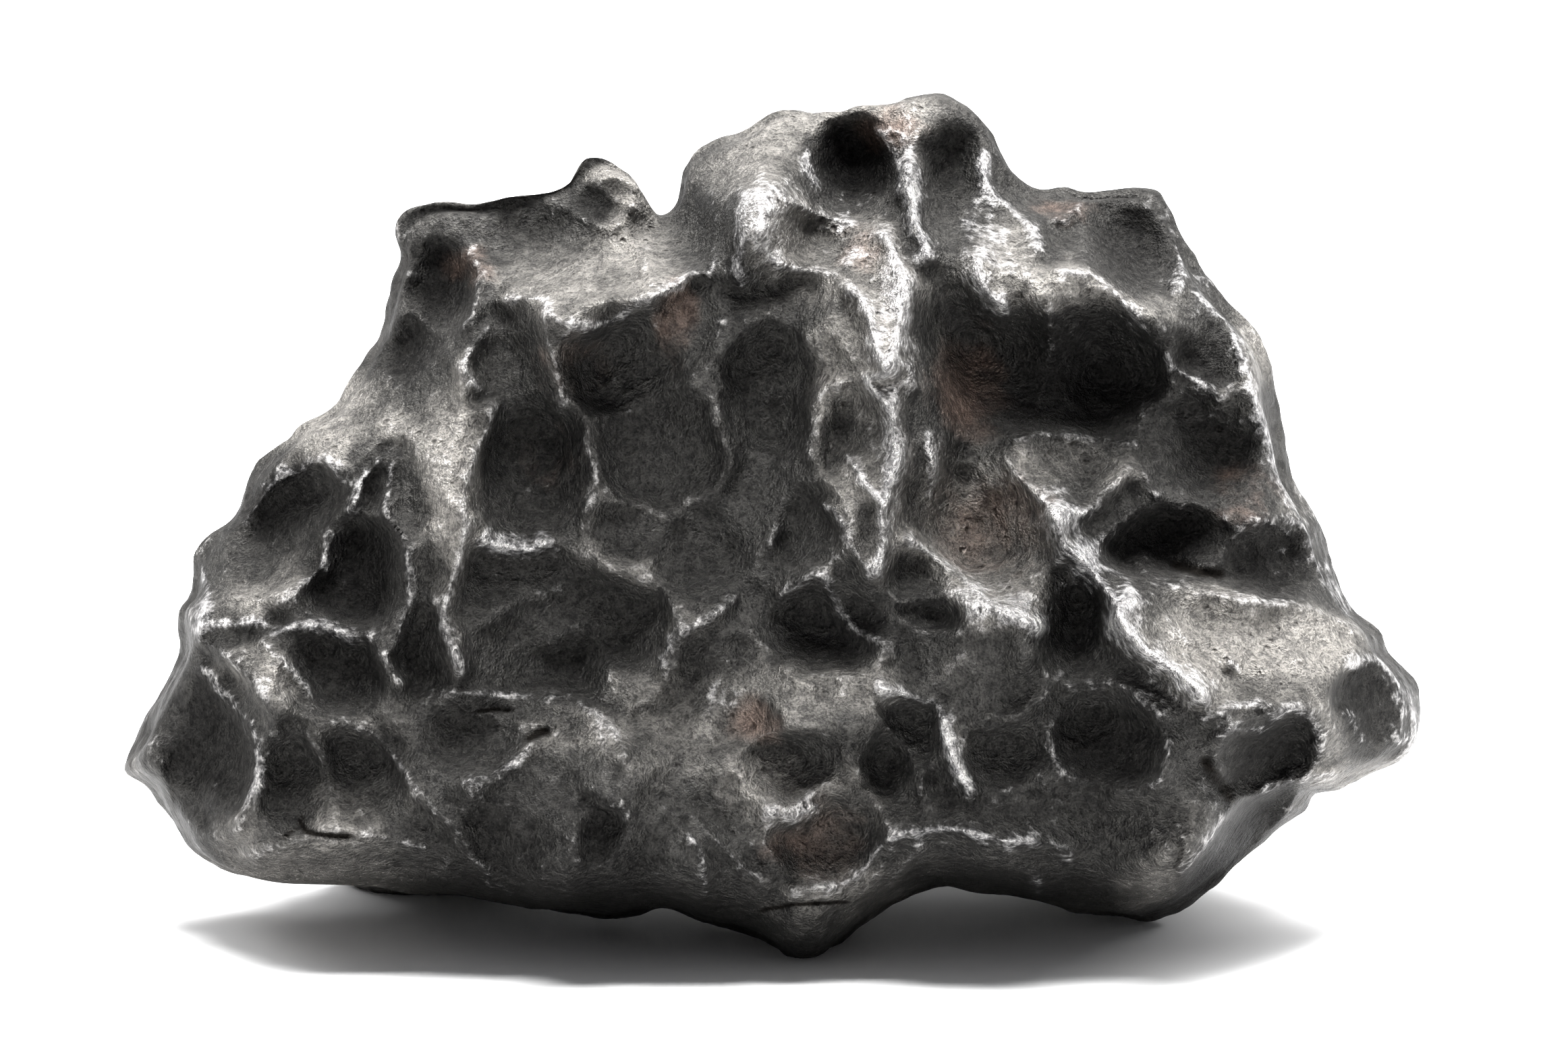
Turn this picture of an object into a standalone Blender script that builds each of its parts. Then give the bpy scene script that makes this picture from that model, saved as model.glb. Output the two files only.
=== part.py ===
# Iron meteorite: one solid piece of metal, its front worn into thumbprint
# hollows that meet in sharp crests, standing on three small worn feet.
import bpy
import numpy as np
from mathutils import Vector, noise

# remove what is in the scene already
for old in list(bpy.data.objects):
    bpy.data.objects.remove(old, do_unlink=True)

MM = 0.001
LEAN = 10.0              # degrees the front face is tipped back
CENTRE = (2.0, 58.0)     # middle of the front outline, mm
EDGE_ROUNDING = 11.0     # mm over which the faces turn into the sides
CREST_SOFTNESS = 0.5     # mm, how blunt the crests between hollows are
GROUND = 5.2             # mm, level at which the feet are worn flat
BACK_CELLS = 150         # hollows over the sides, back and underside
CELL_SEED = 11
RELIEF = 1.5             # how strongly the front is carved
FRONT_SHARE = 0.72       # below 1, the front gets more of the corners than the back
TRIANGLE_SHARE = 0.145   # share of the fine mesh that is kept

# Front outline, clockwise from the left tip: across and up, mm
OUTLINE = [
    (-100, 29.2), (-97.5, 34.5), (-95.5, 39), (-93, 44), (-91.6, 47.5), (-92, 53.5), (-90, 56), (-89.3, 59),
    (-89, 62), (-87, 65), (-83.5, 67.5), (-81.5, 71), (-80, 75), (-78.5, 77.3), (-75, 80), (-72.5, 82.5),
    (-69, 84), (-66.5, 86), (-65, 89), (-62.5, 93.5), (-60.3, 97), (-59.3, 101), (-58.6, 105), (-57.2, 108),
    (-58, 111.5), (-57, 114.5), (-54, 116.4), (-50, 116.8), (-45.5, 116.3), (-41, 117), (-36, 117.8),
    (-31.8, 119.3), (-30.3, 121.5), (-28.8, 123.6), (-26, 123.6), (-22.5, 121.8), (-20, 119.3), (-18.7, 116.5),
    (-17.2, 114.7), (-15, 116), (-14, 118.5), (-13.6, 121), (-12, 123.3), (-9, 125.8), (-4, 128.3), (-0.5, 130.3),
    (3, 130.9), (7, 130.1), (10.5, 130.2), (14, 131.6), (18.5, 131.6), (21.5, 132.6), (25.5, 133.2),
    (29.5, 131.8), (32.5, 129), (35, 125), (37.5, 121), (41, 118.7), (45.5, 119.4), (48.5, 118.6), (54, 119),
    (59, 118.5), (61, 116), (64, 111), (66.5, 106.5), (69.5, 102.5), (72.5, 99.5), (75.5, 96), (77, 91.5),
    (77.7, 86), (79, 80.5), (80, 74.5), (83, 69.5), (85, 66), (86.3, 61.5), (88, 57.5), (90.3, 53.5),
    (93.5, 51), (95, 47.5), (97.8, 45), (99.6, 42), (100, 38), (99, 33.5), (96.5, 30.5), (91.5, 28),
    (87, 25.6), (83.7, 25.5), (82, 22.5), (78.5, 19.5), (74, 15.5), (70, 12), (65, 7.7), (60.5, 5.6),
    (57.3, 4.7), (53.5, 5.8), (48, 6.4), (43, 7.9), (38, 9.1), (32.5, 9.2), (26.5, 10.5), (22.5, 9.6),
    (18, 7.4), (14, 5.3), (10, 2.2), (7.5, 0.4), (4.5, 0.1), (2, 1.4), (-1, 3.2), (-5, 4.6), (-10.5, 5.1),
    (-14.5, 6.6), (-17.5, 6.9), (-21, 5.6), (-25, 5), (-31, 5.9), (-38, 6.7), (-43, 7.3), (-48, 8.4),
    (-55, 9), (-63, 9.7), (-69, 10), (-77, 9.8), (-83, 10.6), (-87.5, 12.5), (-91, 15.2), (-92.5, 18.5),
    (-94.5, 23), (-96.5, 26.3),
]

# How far forward the outline itself stands: degrees round from the right, mm
EDGE = [(-180, 0), (-160, -6), (-130, -14), (-108, -2), (-90, 22), (-74, 6), (-50, -8), (-22, 4), (0, -5),
        (25, 4), (50, -4), (75, 3), (100, -3), (125, 4), (150, -4), (165, 3), (180, 0)]

# How far the front stands out, mm: across, up, out
FRONT = [
    # crown and the two shoulders
    (25, 130, 8), (5, 128, 8), (12, 122, 7), (35, 118, 8), (22, 113, 21), (0, 115, 23), (-8, 118, 14),
    (-12, 121, 6), (-25, 120, 5), (-45, 113, 8), (-56, 111, 9), (-35, 110, 12), (-14, 110, 15), (46, 116, 6),
    (58, 115, 9), (55, 108, 14), (66, 105, 15), (72, 98, 18), (8, 114, 15),
    # the shelf edges and the spine between them
    (-58, 100, 13), (-48, 98, 19), (-40, 100, 25), (-30, 98, 33), (-15, 102, 30), (0, 104, 30), (10, 103, 30),
    (20, 100, 38), (28, 98, 24), (33, 103, 30), (40, 105, 28), (50, 104, 28), (60, 97, 28), (70, 96, 22),
    (-60, 88, 15), (-50, 88, 25), (-40, 90, 29), (-25, 90, 31), (-10, 90, 33), (0, 90, 35), (10, 90, 38),
    (18, 90, 44), (27, 90, 28), (36, 90, 26), (50, 90, 22), (62, 90, 26), (73, 88, 26),
    # the main face
    (-75, 76, 15), (-65, 78, 21), (-55, 75, 29), (-47, 72, 34), (-38, 75, 30), (-25, 75, 33), (-10, 75, 36),
    (3, 75, 38), (16, 75, 47), (26, 75, 35), (36, 78, 32), (46, 76, 32), (57, 77, 31), (67, 78, 29), (77, 76, 26),
    (-86, 60, 15), (-75, 62, 25), (-63, 60, 32), (-52, 62, 35), (-45, 62, 36), (-30, 62, 35), (-15, 62, 38),
    (0, 62, 41), (15, 62, 49), (25, 62, 39), (33, 62, 38), (43, 65, 42), (50, 62, 38), (60, 64, 34),
    (75, 62, 31), (84, 60, 26), (-89, 48, 22), (-80, 50, 28), (-68, 48, 34), (-55, 50, 37), (-45, 50, 38),
    (-28, 50, 38), (-15, 48, 41), (0, 50, 43), (10, 52, 44), (20, 50, 48), (30, 54, 49), (40, 51, 50),
    (47, 50, 45), (53, 52, 51), (62, 52, 44), (75, 52, 38), (88, 52, 28),
    # the thick lower part, rolling under towards the ground
    (-94, 38, 23), (-86, 36, 28), (-76, 38, 36), (-65, 38, 38), (-50, 41, 40), (-35, 41, 39), (-22, 40, 42),
    (-8, 40, 45), (5, 42, 48), (15, 43, 49), (26, 40, 49), (38, 40, 50), (50, 40, 50), (62, 44, 53),
    (75, 44, 47), (88, 42, 38), (96, 40, 31), (-96, 28, 19), (-86, 28, 29), (-76, 28, 38), (-60, 28, 42),
    (-45, 28, 46), (-30, 30, 47), (-20, 30, 48), (-5, 30, 49), (5, 30, 50), (20, 30, 50), (35, 30, 52),
    (50, 30, 53), (62, 34, 55), (75, 32, 46), (90, 32, 32), (-88, 18, 28), (-75, 18, 38), (-60, 19, 43),
    (-45, 20, 46), (-28, 20, 50), (-12, 20, 50), (0, 14, 50), (10, 14, 50), (25, 18, 50), (40, 18, 50),
    (55, 22, 52), (61, 16, 48), (72, 20, 26), (80, 24, 20), (-80, 11, 24), (-60, 11, 30), (-45, 10, 35),
    (-25, 8, 41), (-10, 8, 42), (5, 5, 42), (15, 8, 42), (30, 11, 39), (45, 10, 36), (57, 8, 28),
]

# How far the back stands out the other way, mm: across, up, out
BACK = [
    (-90, 30, 22), (-88, 50, 18), (-60, 15, 44), (-65, 40, 42), (-70, 62, 28), (-60, 85, 16), (-52, 108, 10),
    (-30, 15, 48), (-30, 45, 52), (-30, 75, 38), (-30, 100, 18), (-25, 118, 6), (0, 12, 46), (0, 45, 56),
    (5, 75, 44), (8, 100, 30), (10, 122, 12), (28, 124, 10), (30, 12, 48), (30, 45, 54), (32, 78, 40),
    (35, 105, 20), (60, 12, 44), (58, 45, 46), (56, 75, 34), (55, 105, 14), (80, 30, 30), (84, 52, 22),
    (76, 82, 14), (95, 38, 16),
]

# Hollows in the front: across, up, half width, half height, turn, depth
HOLLOWS = [
    # left wing
    (-86, 33, 9, 14, 6, 7), (-72, 28.5, 6.5, 8, 0, 3.5), (-62, 29.5, 8.5, 8, 0, 3.5), (-66, 44.5, 9, 7.5, -10, 5),
    (-52.5, 48, 5.2, 8.5, 12, 4.5), (-74, 66.5, 13.5, 8, 50, 7), (-86, 62.5, 3.2, 5, -20, 2),
    (-64.5, 60, 9.5, 10.5, 0, 6.5), (-60, 73, 4.2, 7.5, -35, 4), (-92, 24, 4, 7, 15, 1.5),
    # left shoulder and shelf
    (-51, 103, 6.5, 8.5, 0, 6.5), (-55, 94.5, 5, 7, -25, 4.5), (-52, 86.5, 6, 6, 0, 1.8), (-35, 109, 12, 7, 0, 4),
    (-47, 110, 6, 4, -20, 2.2), (-24, 107, 6, 5, 0, 2.2), (-36, 103, 5, 3, 0, 1.4), (-40, 113.6, 9, 3.2, -2, 1.2),
    (-27, 116.5, 5.5, 3.2, 0, 1.6), (-14, 111, 5, 6, 0, 1.5),
    # main face
    (-37, 76, 10, 12.5, 12, 5.5), (-38, 59.5, 12, 5.5, -8, 3), (-40, 92.5, 6.5, 9, -8, 4),
    (-22, 91.5, 10.5, 9, -10, 5.5), (-12.5, 97, 4.2, 8, 0, 3), (-17, 78, 10.5, 11, 20, 5.5),
    (-20, 66.5, 7.5, 6, 0, 3), (-10.5, 64, 9, 8.5, 20, 4), (-28, 50, 15.5, 9.5, 6, 6), (-0.5, 87, 8.5, 12, 0, 5.5),
    (13, 81, 5, 9, -22, 3), (-3, 73, 6, 7, 0, 3), (5.5, 66, 6.2, 7.5, -25, 4), (8, 51.5, 10.5, 7.5, 0, 3.6),
    # foot of the face
    (-45, 34.5, 9, 5.5, 0, 3), (3, 30.5, 7, 5, 0, 3), (9, 18.5, 9.5, 8, 0, 5), (18, 31, 4, 8, -25, 3),
    (22.5, 36.5, 5.5, 6, 0, 2.5), (26.5, 27.5, 3.5, 5, 0, 2), (36, 32, 7.5, 6.5, 0, 3.5), (49, 35, 8, 7.5, 20, 3.6),
    (54, 32, 6, 7, -15, 3.4),
    (45, 24, 16, 5, 0, 2.5), (-25.5, 20, 3, 3.8, -25, 2.4), (-27.5, 23.5, 2, 2.6, 30, 1.3), (46, 10.5, 6, 3.5, 0, 2),
    (-5, 38, 5, 5, 0, 1.5),
    # right wing
    (75, 32.5, 9, 6, 18, 7), (91, 39, 6, 9.5, -12, 7), (70, 17, 13, 4, 52, 5), (60, 64, 10.5, 6, 15, 4.5),
    (76, 61.5, 8, 6, -12, 4.5), (47, 53, 5, 8, -35, 3.5), (27, 68, 8, 8, 0, 3), (34, 64, 8.5, 9.5, -15, 3.5),
    (29.5, 73.5, 2.4, 2.4, 0, 2.5),
    (22, 60, 5.5, 4.5, 0, 2.5), (24.5, 53.5, 5.5, 3, -10, 3),
    # right shoulder with its deep hollow, and the cup at the crown
    (35, 91, 9.5, 10.5, 10, 4.5), (51, 91.5, 10, 9.5, -15, 4), (43, 86, 13, 7, 0, 2), (31, 87.5, 6, 10, 0, 1.6),
    (66, 92, 6.5, 6.5, 0, 3.5), (67, 79, 9, 9.5, 0, 5), (56, 110, 8.5, 9.5, 0, 4.5),
    (45, 109.5, 4.5, 4.5, 0, 2.2), (43, 116.5, 5.5, 2.8, 0, 1.6), (12.5, 122, 7, 7.8, 0, 4.5),
    (27, 118, 5, 9.5, 0, 3), (26.5, 98, 3.6, 12, 0, 1.6), (6, 110, 5, 4, 0, 1.0),
]

# Crests: height, width to the left of the way they run, width to the right, points
CRESTS = [
    (3.0, 10, 3, [(-42, 101), (-35, 101), (-33, 98), (-30, 96.8), (-27, 96.8), (-24, 98), (-20, 100.3), (-17, 102),
    (-14, 103.5), (-10, 107)]),
    (5.0, 4.5, 9, [(-4.7, 102), (-4.7, 108), (-4.6, 114), (-4.4, 119.5)]),
    (1.6, 3, 3, [(-9.5, 103), (-8.7, 109.5), (-8.7, 113), (-9, 117), (-8, 119.5)]),
    (2.2, 2.5, 4, [(-35, 101), (-34, 98), (-33.5, 94), (-32.5, 90), (-31.7, 86), (-33.5, 83)]),
    (4.5, 3, 10, [(-43.5, 87), (-42.5, 84), (-43, 81), (-45, 77), (-46, 73), (-46.5, 70), (-46, 66), (-47, 62),
    (-48, 58),
    (-49.5, 53), (-49, 50), (-47, 46), (-46, 42)]),
    (2.0, 3.5, 3, [(-43, 86.5), (-46.5, 90), (-45, 94), (-42, 98)]),
    (2.6, 5, 4, [(-45.5, 66), (-44, 64.5), (-41, 63.5), (-38, 63), (-35, 63.5), (-32, 65.5)]),
    (1.6, 4, 4, [(-30, 82), (-28, 79), (-27, 76), (-26.7, 73), (-28, 69), (-30, 67)]),
    (2.0, 2, 6, [(-54, 41.5), (-46, 41.5), (-40, 41), (-34, 41), (-30, 40.3), (-27, 38.5), (-24, 36.5), (-22.5, 34),
    (-22, 31), (-21.5, 29)]),
    (2.4, 5, 3, [(-48, 28.5), (-42, 29), (-40, 30), (-37, 32.5), (-34, 35)]),
    (2.2, 2.5, 6, [(-17, 26), (-15, 23.5), (-12, 23), (-9.5, 21), (-6, 17), (-3, 14.5), (1.5, 13)]),
    (2.8, 5, 3, [(1.5, 13), (4, 11.5), (7, 12.5), (10, 12.5), (12, 13), (14.5, 15), (16, 17.5), (19, 20), (28, 20.7),
    (31, 20.2), (36, 19), (40, 18.8), (43, 18.2), (47, 16)]),
    (2.2, 4, 3, [(-3, 24.5), (-1, 24), (3, 22.8), (6, 24), (9, 25.5)]),
    (2.8, 3, 3.5, [(14, 43.5), (18, 42), (22, 40.8), (25, 39.5), (26.3, 36), (27, 33), (28, 30), (29.5, 27),
    (30.3, 24.5)]),
    (1.8, 3, 4, [(30, 36), (35, 37), (40, 40), (45, 46)]),
    (2.0, 3, 3, [(10, 34), (13, 30), (15, 27), (17, 24.5)]),
    (1.8, 3, 3, [(15, 40), (18, 35.5), (21, 32), (22.5, 28), (21, 25)]),
    (3.0, 4, 4, [(43, 42), (48, 43), (54, 42), (58, 38), (59.5, 34), (59.5, 31.5), (58, 28.5), (54, 27), (51.5, 26.5),
    (50, 28)]),
    (7, 5, 4, [(41, 70), (43, 67), (44, 64), (47, 61), (50, 58), (52, 55), (53, 52), (56, 48), (59, 46), (62, 44),
    (64, 42),
    (66, 39)]),
    (3.5, 3, 7, [(19, 66), (25, 62), (30, 58), (33, 55), (37, 53), (40, 51.5), (43, 51)]),
    (2.6, 4, 3, [(35, 79), (36, 76), (40, 71.5), (44, 69), (48, 69), (53, 74), (56, 77)]),
    (1.8, 3, 3, [(35, 79.5), (42, 80.5), (50, 80), (57, 78.5)]),
    (2.2, 3, 4, [(56, 77), (58, 72), (61, 72)]),
    (5.0, 3.5, 5, [(24, 105), (23.5, 109.5), (22, 113), (21, 119), (20.5, 124)]),
    (4.0, 3, 4, [(16, 113), (18, 109), (19.5, 105), (20, 101), (19, 96), (18, 92), (17, 88)]),
    (4.0, 3, 3, [(10, 104), (13, 101.5), (15, 98), (15.5, 94), (17, 90), (15, 88), (18, 84), (19, 78), (18, 72),
    (17, 68),
    (17, 64), (15, 57)]),
    (3.2, 4, 4, [(32, 126), (32.5, 121), (33.5, 118), (36, 115.5), (39, 113), (41, 109.5), (42, 106.5)]),
    (4.0, 4, 5, [(31.5, 110), (31.5, 105), (33, 102), (35, 100.5), (38, 100.5)]),
    (2.5, 3, 3, [(15, 129), (18, 125.5), (19.3, 121), (19.5, 118), (18, 115.5)]),
    (2.0, 3, 3, [(5.5, 126), (6, 121), (9, 117)]),
    (2.5, 6, 3, [(-4, 119.5), (1, 118), (4, 115.5), (8, 114), (12, 113), (14, 114.5)]),
    (2.2, 5, 3, [(-1.5, 107), (1.5, 106), (6, 105.5), (10, 105)]),
    (3.0, 8, 3, [(41, 105.5), (46, 105), (50, 104.5), (53, 102), (54.5, 99.5), (57, 96.5), (58.5, 96), (62, 97.5)]),
    (2.0, 3, 3, [(41, 114), (45, 113.5), (48, 117)]),
    (2.2, 3, 4, [(60, 117), (62, 112), (63, 107), (62.5, 104), (60, 101)]),
    (2.4, 3, 4, [(59, 95), (61, 91), (65, 88.5), (69, 86), (71, 86)]),
    (3.6, 6, 4, [(63, 103), (67, 100.5), (70, 97), (71.5, 93), (73, 88), (74, 84), (76.5, 78), (78, 73), (80, 70),
    (82, 66),
    (84, 62), (86, 58), (89, 54), (91, 51)]),
    (2.4, 3, 5, [(54, 62), (58, 59), (65, 56.5), (72, 55.5), (80, 54.5), (86, 52.5), (91, 49)]),
    (2.0, 3, 4, [(52, 57), (58, 54), (62, 50), (66, 48)]),
    (2.0, 3, 3, [(56, 64), (58, 60)]),
    (1.8, 3, 3, [(69, 65.5), (73, 67), (77, 66.5), (80, 64)]),
    (2.6, 2.5, 4, [(5.5, 75), (6.5, 83), (8, 87), (13, 88.5)]),
    (2.2, 3, 3, [(10.5, 79), (13, 75), (16, 71), (17.5, 69)]),
    (2.4, 3, 3, [(-10, 85), (-8.5, 82), (-7, 78.5), (-6, 76), (-7, 73)]),
    (1.8, 2.5, 3, [(1.5, 69.5), (0.5, 65), (0, 61)]),
    (2.0, 3, 3, [(6, 71), (10, 68.5), (12, 64), (14, 60), (14.5, 57)]),
    (2.2, 3, 3, [(0, 55), (4, 58), (7, 59), (9, 57), (10.5, 54), (14, 50), (20, 47.5)]),
    (1.8, 3, 4, [(1, 43.5), (3, 45), (6, 44), (13, 44), (18, 47), (20, 48)]),
    (2.6, 3, 7, [(-4, 57.5), (-8, 54), (-12, 51), (-15, 49.5), (-16, 45), (-15, 43)]),
    (2.0, 3, 3, [(-17, 57), (-14.5, 54), (-14, 49), (-16, 43), (-22, 37.5)]),
    (2.2, 3, 3, [(-54, 27), (-50, 23), (-47, 20.5), (-45, 17), (-43, 14), (-42.5, 10), (-41.5, 6.8)]),
    (1.6, 3, 3, [(-43, 13.5), (-38, 9.5), (-33, 6.5)]),
    (2.0, 4, 4, [(-81, 16), (-75, 18), (-66, 20), (-60, 20), (-55, 18.5), (-50, 17)]),
    (2.6, 3, 3, [(-87, 47), (-84, 42), (-80, 37.5), (-78, 33), (-78, 28), (-80, 22), (-81, 18)]),
    (1.4, 2.5, 2.5, [(-86, 49), (-79, 44), (-75, 38)]),
    (1.6, 2.5, 2.5, [(-82, 49), (-76, 44), (-72, 38)]),
    (1.8, 2.5, 2.5, [(-78, 50), (-73, 45), (-70, 41), (-69, 36)]),
    (1.8, 2.5, 2.5, [(-77, 33), (-75.5, 34.8), (-71, 35), (-69.5, 34), (-66, 29)]),
    (1.8, 2.5, 2.5, [(-69, 35.5), (-66, 37), (-61, 35.5), (-58, 33), (-55, 29), (-52, 24)]),
    (2.0, 3, 9, [(-87, 50), (-85, 51.5), (-78, 52), (-76, 50.5), (-70, 51.5), (-65, 50), (-62, 47)]),
    (2.4, 3, 3, [(-88.8, 62), (-87.5, 60), (-86, 57), (-86.5, 53), (-87, 50), (-87, 48)]),
    (2.4, 3, 3, [(-83, 66), (-80, 68), (-76, 73), (-72, 75), (-68.5, 77), (-66, 75), (-65, 72)]),
    (3.0, 4, 3, [(-67, 68), (-67.5, 66), (-67.7, 63), (-68.5, 60.5), (-72, 57), (-76, 53)]),
    (3.0, 3, 4, [(-57, 78), (-58, 74), (-58, 68), (-56, 65), (-55, 62), (-54.7, 55), (-57, 49), (-58.3, 47),
    (-56, 43),
    (-54, 41.5)]),
    (2.0, 3, 3, [(-64, 67), (-63, 71), (-62, 74), (-58, 78), (-56, 79.5)]),
    (2.4, 3, 3, [(-57, 108), (-55.5, 105.5), (-56, 103)]),
    (2.4, 3, 3, [(-47, 109), (-44, 105), (-45, 102), (-46, 98), (-49, 95.5)]),
    (1.2, 2.5, 4, [(-29, 120), (-26, 118.5), (-23, 116), (-18, 114.5)]),
    (3.5, 3, 8, [(70, 24.5), (67, 20), (64, 16), (61, 14.3), (60, 15.5)]),
    (2.8, 3, 3, [(65, 34), (69, 36), (74, 36), (76, 38), (80, 39), (83, 35), (82, 30)]),
    (2.2, 3, 3, [(62, 37), (66, 38), (70, 39.5), (74, 40), (75, 37.5)]),
    (2.0, 3, 3, [(72, 26), (78, 28), (86, 29), (88, 28.5)]),
    (3.0, 3, 4, [(86, 44), (92, 46.5), (97, 42), (99, 36), (95, 31)]),
    (2.2, 3, 3, [(86, 40), (89, 36), (90, 31)]),
    (2.0, 3, 3, [(40.5, 16), (40.3, 13), (41.5, 9)]),
    (1.8, 3, 3, [(12, 10), (17, 12), (21, 16.5), (25, 18.5)]),
    (1.8, 3, 3, [(-13.5, 21.5), (-11, 18), (-10, 14), (-10, 8)]),
    (1.4, 3, 3, [(-20, 113), (-19, 108), (-20, 103)]), (1.4, 3, 2, [(-44, 109), (-42, 106), (-41, 102.5)]),
    (1.6, 2.5, 2.5, [(68, 48), (72, 43)]), (1.6, 2.5, 2.5, [(73, 47), (75.5, 43)]),
]

# Lumps on the front: across, up, half width, half height, turn, height
LUMPS = [
    (-31, 51, 7, 3.5, 15, 2.2), (-15, 80, 4, 6, 30, 1.2), (-36, 74, 5, 3, 20, 1.0), (-1, 89, 3, 5, 10, 1.0),
    (-24, 45, 3.5, 3, 0, 3), (25, 76, 1.8, 5.5, 0, 3.5), (64, 104.5, 3, 3, 0, 1.5), (0, 114, 4.5, 5.5, 0, 4),
    (-25, 18, 14, 9, 0, 3), (-14, 13, 4, 6, 0, 3), (-84, 26, 2.5, 3, 0, 2), (93, 49, 2.5, 3, 0, 2),
    (-23, 120, 5, 3, -25, 3), (38, 46, 3, 3, 0, 2), (60, 25, 7, 8, 0, 3), (6, 4, 5, 4, 0, 2.5),
    (57, 12, 4, 3.5, 0, 2),
]

# Feet: across, back, radius, drop, mm; behind the front one the underside arches up
FEET = [(5, -20, 9, 1.0), (-58, 36, 15, 15.5), (56, 34, 15, 13.7)]
ARCH = 9.0


def smooth(value, low, high):
    share = np.clip((value - low) / (high - low), 0, 1)
    return share * share * (3 - 2 * share)


def curve(points, closed):
    """points joined by a smooth curve, six steps to each stretch"""
    points = np.array(points, float)
    if closed:
        points = np.vstack([points[-1:], points, points[:2]])
    else:
        points = np.vstack([2 * points[0] - points[1], points, 2 * points[-1] - points[-2]])
    steps = []
    for a, b, c, d in zip(points[:-3], points[1:-2], points[2:-1], points[3:]):
        for share in np.arange(6) / 6:
            steps.append(0.5 * (2 * b + (c - a) * share + (2 * a - 5 * b + 4 * c - d) * share ** 2
                                + (3 * b - a - 3 * c + d) * share ** 3))
    if not closed:
        steps.append(points[-2])
    return np.array(steps)


def near_line(across, up, line):
    """distance to a line, which side of it, how far along it, and its length"""
    nearest = np.full(across.shape, 1e9)
    side = np.zeros(across.shape)
    along = np.zeros(across.shape)
    walked = 0.0
    for start, end in zip(line[:-1], line[1:]):
        step = end - start
        length = max(np.hypot(*step), 1e-6)
        share = np.clip(((across - start[0]) * step[0] + (up - start[1]) * step[1]) / length ** 2, 0, 1)
        away_u = across - start[0] - share * step[0]
        away_w = up - start[1] - share * step[1]
        away = np.hypot(away_u, away_w)
        closer = away < nearest
        nearest = np.where(closer, away, nearest)
        side = np.where(closer, step[1] * away_u - step[0] * away_w, side)
        along = np.where(closer, walked + share * length, along)
        walked += length
    return nearest, side, along, walked


def through(points, across, up):
    """a smooth sheet through the given heights"""
    points = np.array(points, float)
    gaps = np.sqrt((points[:, None, 0] - points[:, 0]) ** 2 + (points[:, None, 1] - points[:, 1]) ** 2 + 49)
    middle = points[:, 2].mean()
    pulls = np.linalg.solve(gaps, points[:, 2] - middle)
    sheet = np.full(across.shape, middle)
    for (point_u, point_w, height), pull in zip(points, pulls):
        sheet += pull * np.sqrt((across - point_u) ** 2 + (up - point_w) ** 2 + 49)
    return sheet


def turned(across, up, middle_u, middle_w, half_u, half_w, turn):
    """square of the distance from a tilted oval's middle, 1 on its rim"""
    turn = np.radians(turn)
    right = (across - middle_u) * np.cos(turn) + (up - middle_w) * np.sin(turn)
    rise = (up - middle_w) * np.cos(turn) - (across - middle_u) * np.sin(turn)
    return (right / half_u) ** 2 + (rise / half_w) ** 2


# the blank: a ball of small triangles
bpy.ops.mesh.primitive_ico_sphere_add(subdivisions=7, radius=1.0)
stone = bpy.context.object
stone.name = "meteorite"
stone.data.name = "meteorite"
count = len(stone.data.vertices)
ball = np.empty(count * 3)
stone.data.vertices.foreach_get("co", ball)
ball = ball.reshape(-1, 3)

# its corners slid towards the front, where the finest detail is
squeeze = 1 - ball[:, 1] + FRONT_SHARE ** 2 * (1 + ball[:, 1])
ball[:, 0] *= 2 * FRONT_SHARE / squeeze
ball[:, 2] *= 2 * FRONT_SHARE / squeeze
ball[:, 1] = -(1 - ball[:, 1] - FRONT_SHARE ** 2 * (1 + ball[:, 1])) / squeeze

# the ball pressed out to the front outline
outline = curve(OUTLINE, True)
angles = np.arctan2(outline[:, 1] - CENTRE[1], outline[:, 0] - CENTRE[0])
reaches = np.hypot(outline[:, 0] - CENTRE[0], outline[:, 1] - CENTRE[1])
order = np.argsort(angles)
angles, reaches = angles[order], reaches[order]
angles = np.concatenate([angles - 2 * np.pi, angles, angles + 2 * np.pi])
reaches = np.tile(reaches, 3)


def blurred(angle, spread):
    """reach of the outline at an angle, averaged over a few degrees each way"""
    total = 0.0
    for step in np.linspace(-2, 2, 17):
        share = np.exp(-step * step / 2)
        total = total + share * np.interp(angle + step * spread, angles, reaches)
    return total / sum(np.exp(-step * step / 2) for step in np.linspace(-2, 2, 17))


radius = np.hypot(ball[:, 0], ball[:, 2])
angle = np.arctan2(ball[:, 2], ball[:, 0])
facing = -ball[:, 1]
near_rim = radius ** 4
even_reach = blurred(angle, np.radians(7))
reach = (blurred(angle, np.radians(0.25)) * radius ** 12 + blurred(angle, np.radians(2)) * (near_rim - radius ** 12)
         + even_reach * (1 - near_rim))
across = CENTRE[0] + reach * radius * np.cos(angle)
up = CENTRE[1] + reach * radius * np.sin(angle)
rounding = np.sqrt(1 - (1 - np.clip(even_reach * (1 - radius) / EDGE_ROUNDING, 0, 1)) ** 2)


def swirl(points, size, octaves, seed):
    """a soft random swell at each point, about -1 to 1"""
    start = Vector((seed * 7.3, seed * 3.1, seed * 5.7))
    return np.array([noise.fractal(Vector(point) / size + start, 1.0, 2.0, octaves) for point in points])


# no hollow is a true oval: the pattern is pushed about a little before it is cut
flat = np.column_stack([across, up, np.zeros(count)])
bent_u = across + 1.1 * swirl(flat, 11.0, 2, 1) + 0.5 * swirl(flat, 3.5, 2, 2)
bent_w = up + 1.1 * swirl(flat, 11.0, 2, 3) + 0.5 * swirl(flat, 3.5, 2, 4)
line_u = across + 0.4 * swirl(flat, 5.0, 2, 5)
line_w = up + 0.4 * swirl(flat, 5.0, 2, 6)

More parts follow.
